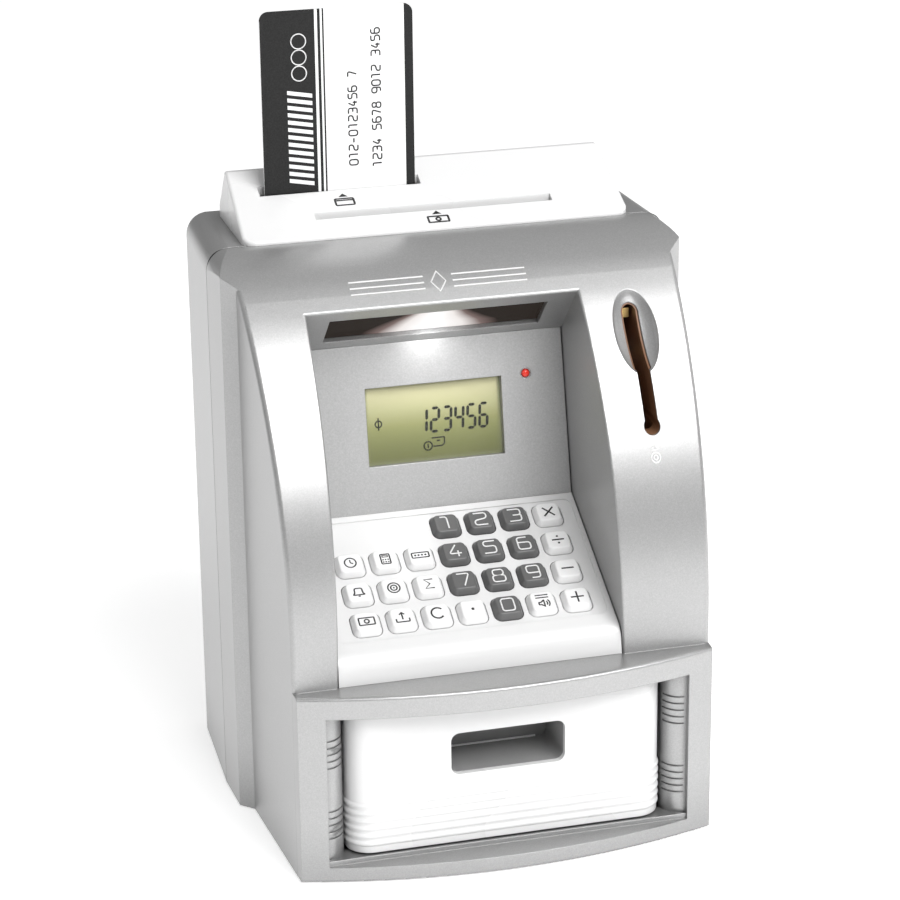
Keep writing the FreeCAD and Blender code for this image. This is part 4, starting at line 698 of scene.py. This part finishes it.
def wrapped(mesh, node, towards):
    """Moves a flat drawing along a direction onto the node's surface; its own thickness is kept."""
    tree = BVHTree.FromPolygons([vertex.co for vertex in frame["nodes"][node].data.vertices],
                                [face.vertices for face in frame["nodes"][node].data.polygons])
    start = max(vertex.co.dot(-towards) for vertex in mesh.vertices)
    for vertex in mesh.vertices:
        height = vertex.co.dot(-towards) - start
        spot = tree.ray_cast(vertex.co - towards * 0.1, towards)[0]
        vertex.co = spot - towards * (height + INK * MM)
    return mesh


def on_fascia(name, drawing, width, x, up):
    """Pale lines on the fascia's curved face, their origin at x and up in millimetres."""
    upright = Matrix((RIGHT, TOP, FRONT)).transposed().to_4x4()
    place = Matrix.Translation((x * MM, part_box("keypad_console")[0].y, up * MM)) @ upright
    mesh = wrapped(ribbon([fine(line) for line in drawing], width, place), "front_shell", -FRONT)
    add_piece(name, mesh, "white_ink_and_highlight", "root")


def dress_fascia():
    """A plain white lozenge and lines over the niche, and an arrow and a coin under the coin slot."""
    mouth = sum(corner.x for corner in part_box("lamp_window")) / 2 / MM
    emblem = [[(-2.6, 0), (0, 2.6), (2.6, 0), (0, -2.6), (-2.6, 0)]]
    emblem += [[(side * 5.0, up), (side * 31.0, up)] for side in (-1, 1) for up in (-1.6, 0.0, 1.6)]
    on_fascia("niche_emblem", emblem, 0.5, mouth, EMBLEM_UP)
    coin = [curved([(-1.3, 1.9), (0, 3.3), (1.3, 1.9), (-1.3, 1.9)], 0.2),
            circle(0, -0.6, 1.6, 24), circle(0, -0.6, 0.7, 16)]
    on_fascia("coin_mark", coin, 0.55, COIN_MARK_X, COIN_MARK_UP)


def paint_cup_highlight():
    """A painted highlight: a white strip along the crease at the foot of the finger cup's back wall."""
    low, high = (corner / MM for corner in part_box("drawer_pull_cup"))
    inside = CUP_WALL + 0.15
    corner = Matrix.Translation((0, (high.y - inside) * MM, (low.z + inside) * MM))
    place = corner @ Matrix.Diagonal((1, 1, 7, 1))
    # The white strip along the crease is a painted highlight.
    mesh = ribbon([[(low.x + 2.5, 0), (high.x - 5.5, 0)]], 1.2, place)
    add_piece("cup_crease_highlight", mesh, "white_ink_and_highlight", "drawer")


def paint_seam_shadow():
    """A painted shadow: a dark strip in the open line between the shells, up one side, over the top and down
    the other.
    """
    low, high = (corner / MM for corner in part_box("rear_shell"))
    inset, foot = 0.32, low.z + 1.0
    half, top, y = high.x - inset, high.z - inset, low.y + TONGUE_REACH
    outline = curved([(-half, foot), (-half, top), (half, top), (half, foot)], SEAM_ROUND, 12)
    upright = Matrix((RIGHT, TOP, FRONT)).transposed().to_4x4()
    wide = 0.46
    place = Matrix.Translation((0, y * MM, 0)) @ upright @ Matrix.Diagonal((1, 1, wide / (2 * INK), 1))
    # The dark strip in the gap is a painted shadow.
    mesh = ribbon([outline], wide, place)
    add_piece("seam_shadow_strip", mesh, "black_ink_and_shadow", "root")


# ---------------------------------------------------------------- studio
def aim(thing, position, target):
    thing.location = position
    thing.rotation_mode = "QUATERNION"
    thing.rotation_quaternion = (Vector(target) - Vector(position)).to_track_quat("-Z", "Y")


def softbox(name, position, target, wide, tall, watts, tone=(1, 1, 1)):
    light = bpy.data.lights.new(name, "AREA")
    light.shape = "RECTANGLE"
    light.size, light.size_y = wide, tall
    light.energy = watts
    light.color = tone
    holder = bpy.data.objects.new(name, light)
    bpy.context.collection.objects.link(holder)
    aim(holder, position, target)
    return holder


def make_sky(scene):
    """A pale room: light near the horizon and darker overhead."""
    world = bpy.data.worlds.new("studio")
    scene.world = world
    world.use_nodes = True
    nodes, links = world.node_tree.nodes, world.node_tree.links
    way = nodes.new("ShaderNodeTexCoord")
    split = nodes.new("ShaderNodeSeparateXYZ")
    ramp = nodes.new("ShaderNodeValToRGB")
    links.new(way.outputs["Generated"], split.inputs[0])
    links.new(split.outputs["Z"], ramp.inputs["Fac"])
    links.new(ramp.outputs["Color"], nodes["Background"].inputs["Color"])
    for point, (place, level) in zip(ramp.color_ramp.elements, ((0.0, 0.16), (0.75, 0.44))):
        point.position = place
        point.color = (level, level, level, 1)


def make_studio():
    scene = bpy.context.scene
    scene.view_settings.view_transform = "Standard"
    make_sky(scene)

    bpy.ops.mesh.primitive_grid_add(size=12.0, x_subdivisions=8, y_subdivisions=8, location=(0, 0, 0))
    floor = bpy.context.object
    floor.name = "studio_floor"
    floor.data.materials.append(studio_floor())

    middle = (0, 0, 0.11)
    softbox("front_box", (0.45, -1.10, 1.25), middle, 1.2, 0.9, 28)
    softbox("right_box", (1.5, 0.1, 0.7), middle, 0.6, 0.9, 1.5)
    softbox("left_box", (-1.1, 1.1, 0.7), middle, 0.9, 0.9, 1.0)

    low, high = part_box("lamp_window")
    spot = bpy.data.lights.new("niche_lamp", "SPOT")
    spot.energy = 0.03
    spot.spot_size = math.radians(150)
    spot.spot_blend = 1.0
    spot.shadow_soft_size = 0.006
    holder = bpy.data.objects.new("niche_lamp", spot)
    bpy.context.collection.objects.link(holder)
    lamp = (low + high) / 2 + HEADER.out * 6 * MM
    aim(holder, lamp, lamp + Vector((0, 0.35, -1)))


def make_camera():
    """A long lens in front of the left corner, looking a little down."""
    yaw, pitch, roll = math.radians(15.14), math.radians(20.04), math.radians(-0.67)
    lens, sensor = 121.8, 36.0
    data = bpy.data.cameras.new("view")
    data.lens, data.sensor_width = lens, sensor
    camera = bpy.data.objects.new("view", data)
    bpy.context.collection.objects.link(camera)
    ahead = Vector((math.sin(yaw) * math.cos(pitch), math.cos(yaw) * math.cos(pitch), -math.sin(pitch)))
    right = Vector((math.cos(yaw), -math.sin(yaw), 0))
    up = right.cross(ahead)
    across = right * math.cos(roll) + up * math.sin(roll)
    over = up * math.cos(roll) - right * math.sin(roll)
    turn = Matrix((across, over, -ahead)).transposed().to_4x4()
    target, distance = Vector((0.76, 11.15, 122.97)) * MM, 1.077
    camera.matrix_world = Matrix.Translation(target - ahead * distance) @ turn
    bpy.context.scene.camera = camera


# ---------------------------------------------------------------- put it together
for part in frame["record"]["subparts"]:
    for holder in frame["nodes"][part["node"]].material_slots:
        holder.material = FINISHES[part["material_slot"]]

dress_keys()
dress_display()
dress_card()
dress_cap()
dress_fascia()
paint_seam_shadow()
paint_cup_highlight()
make_studio()
make_camera()
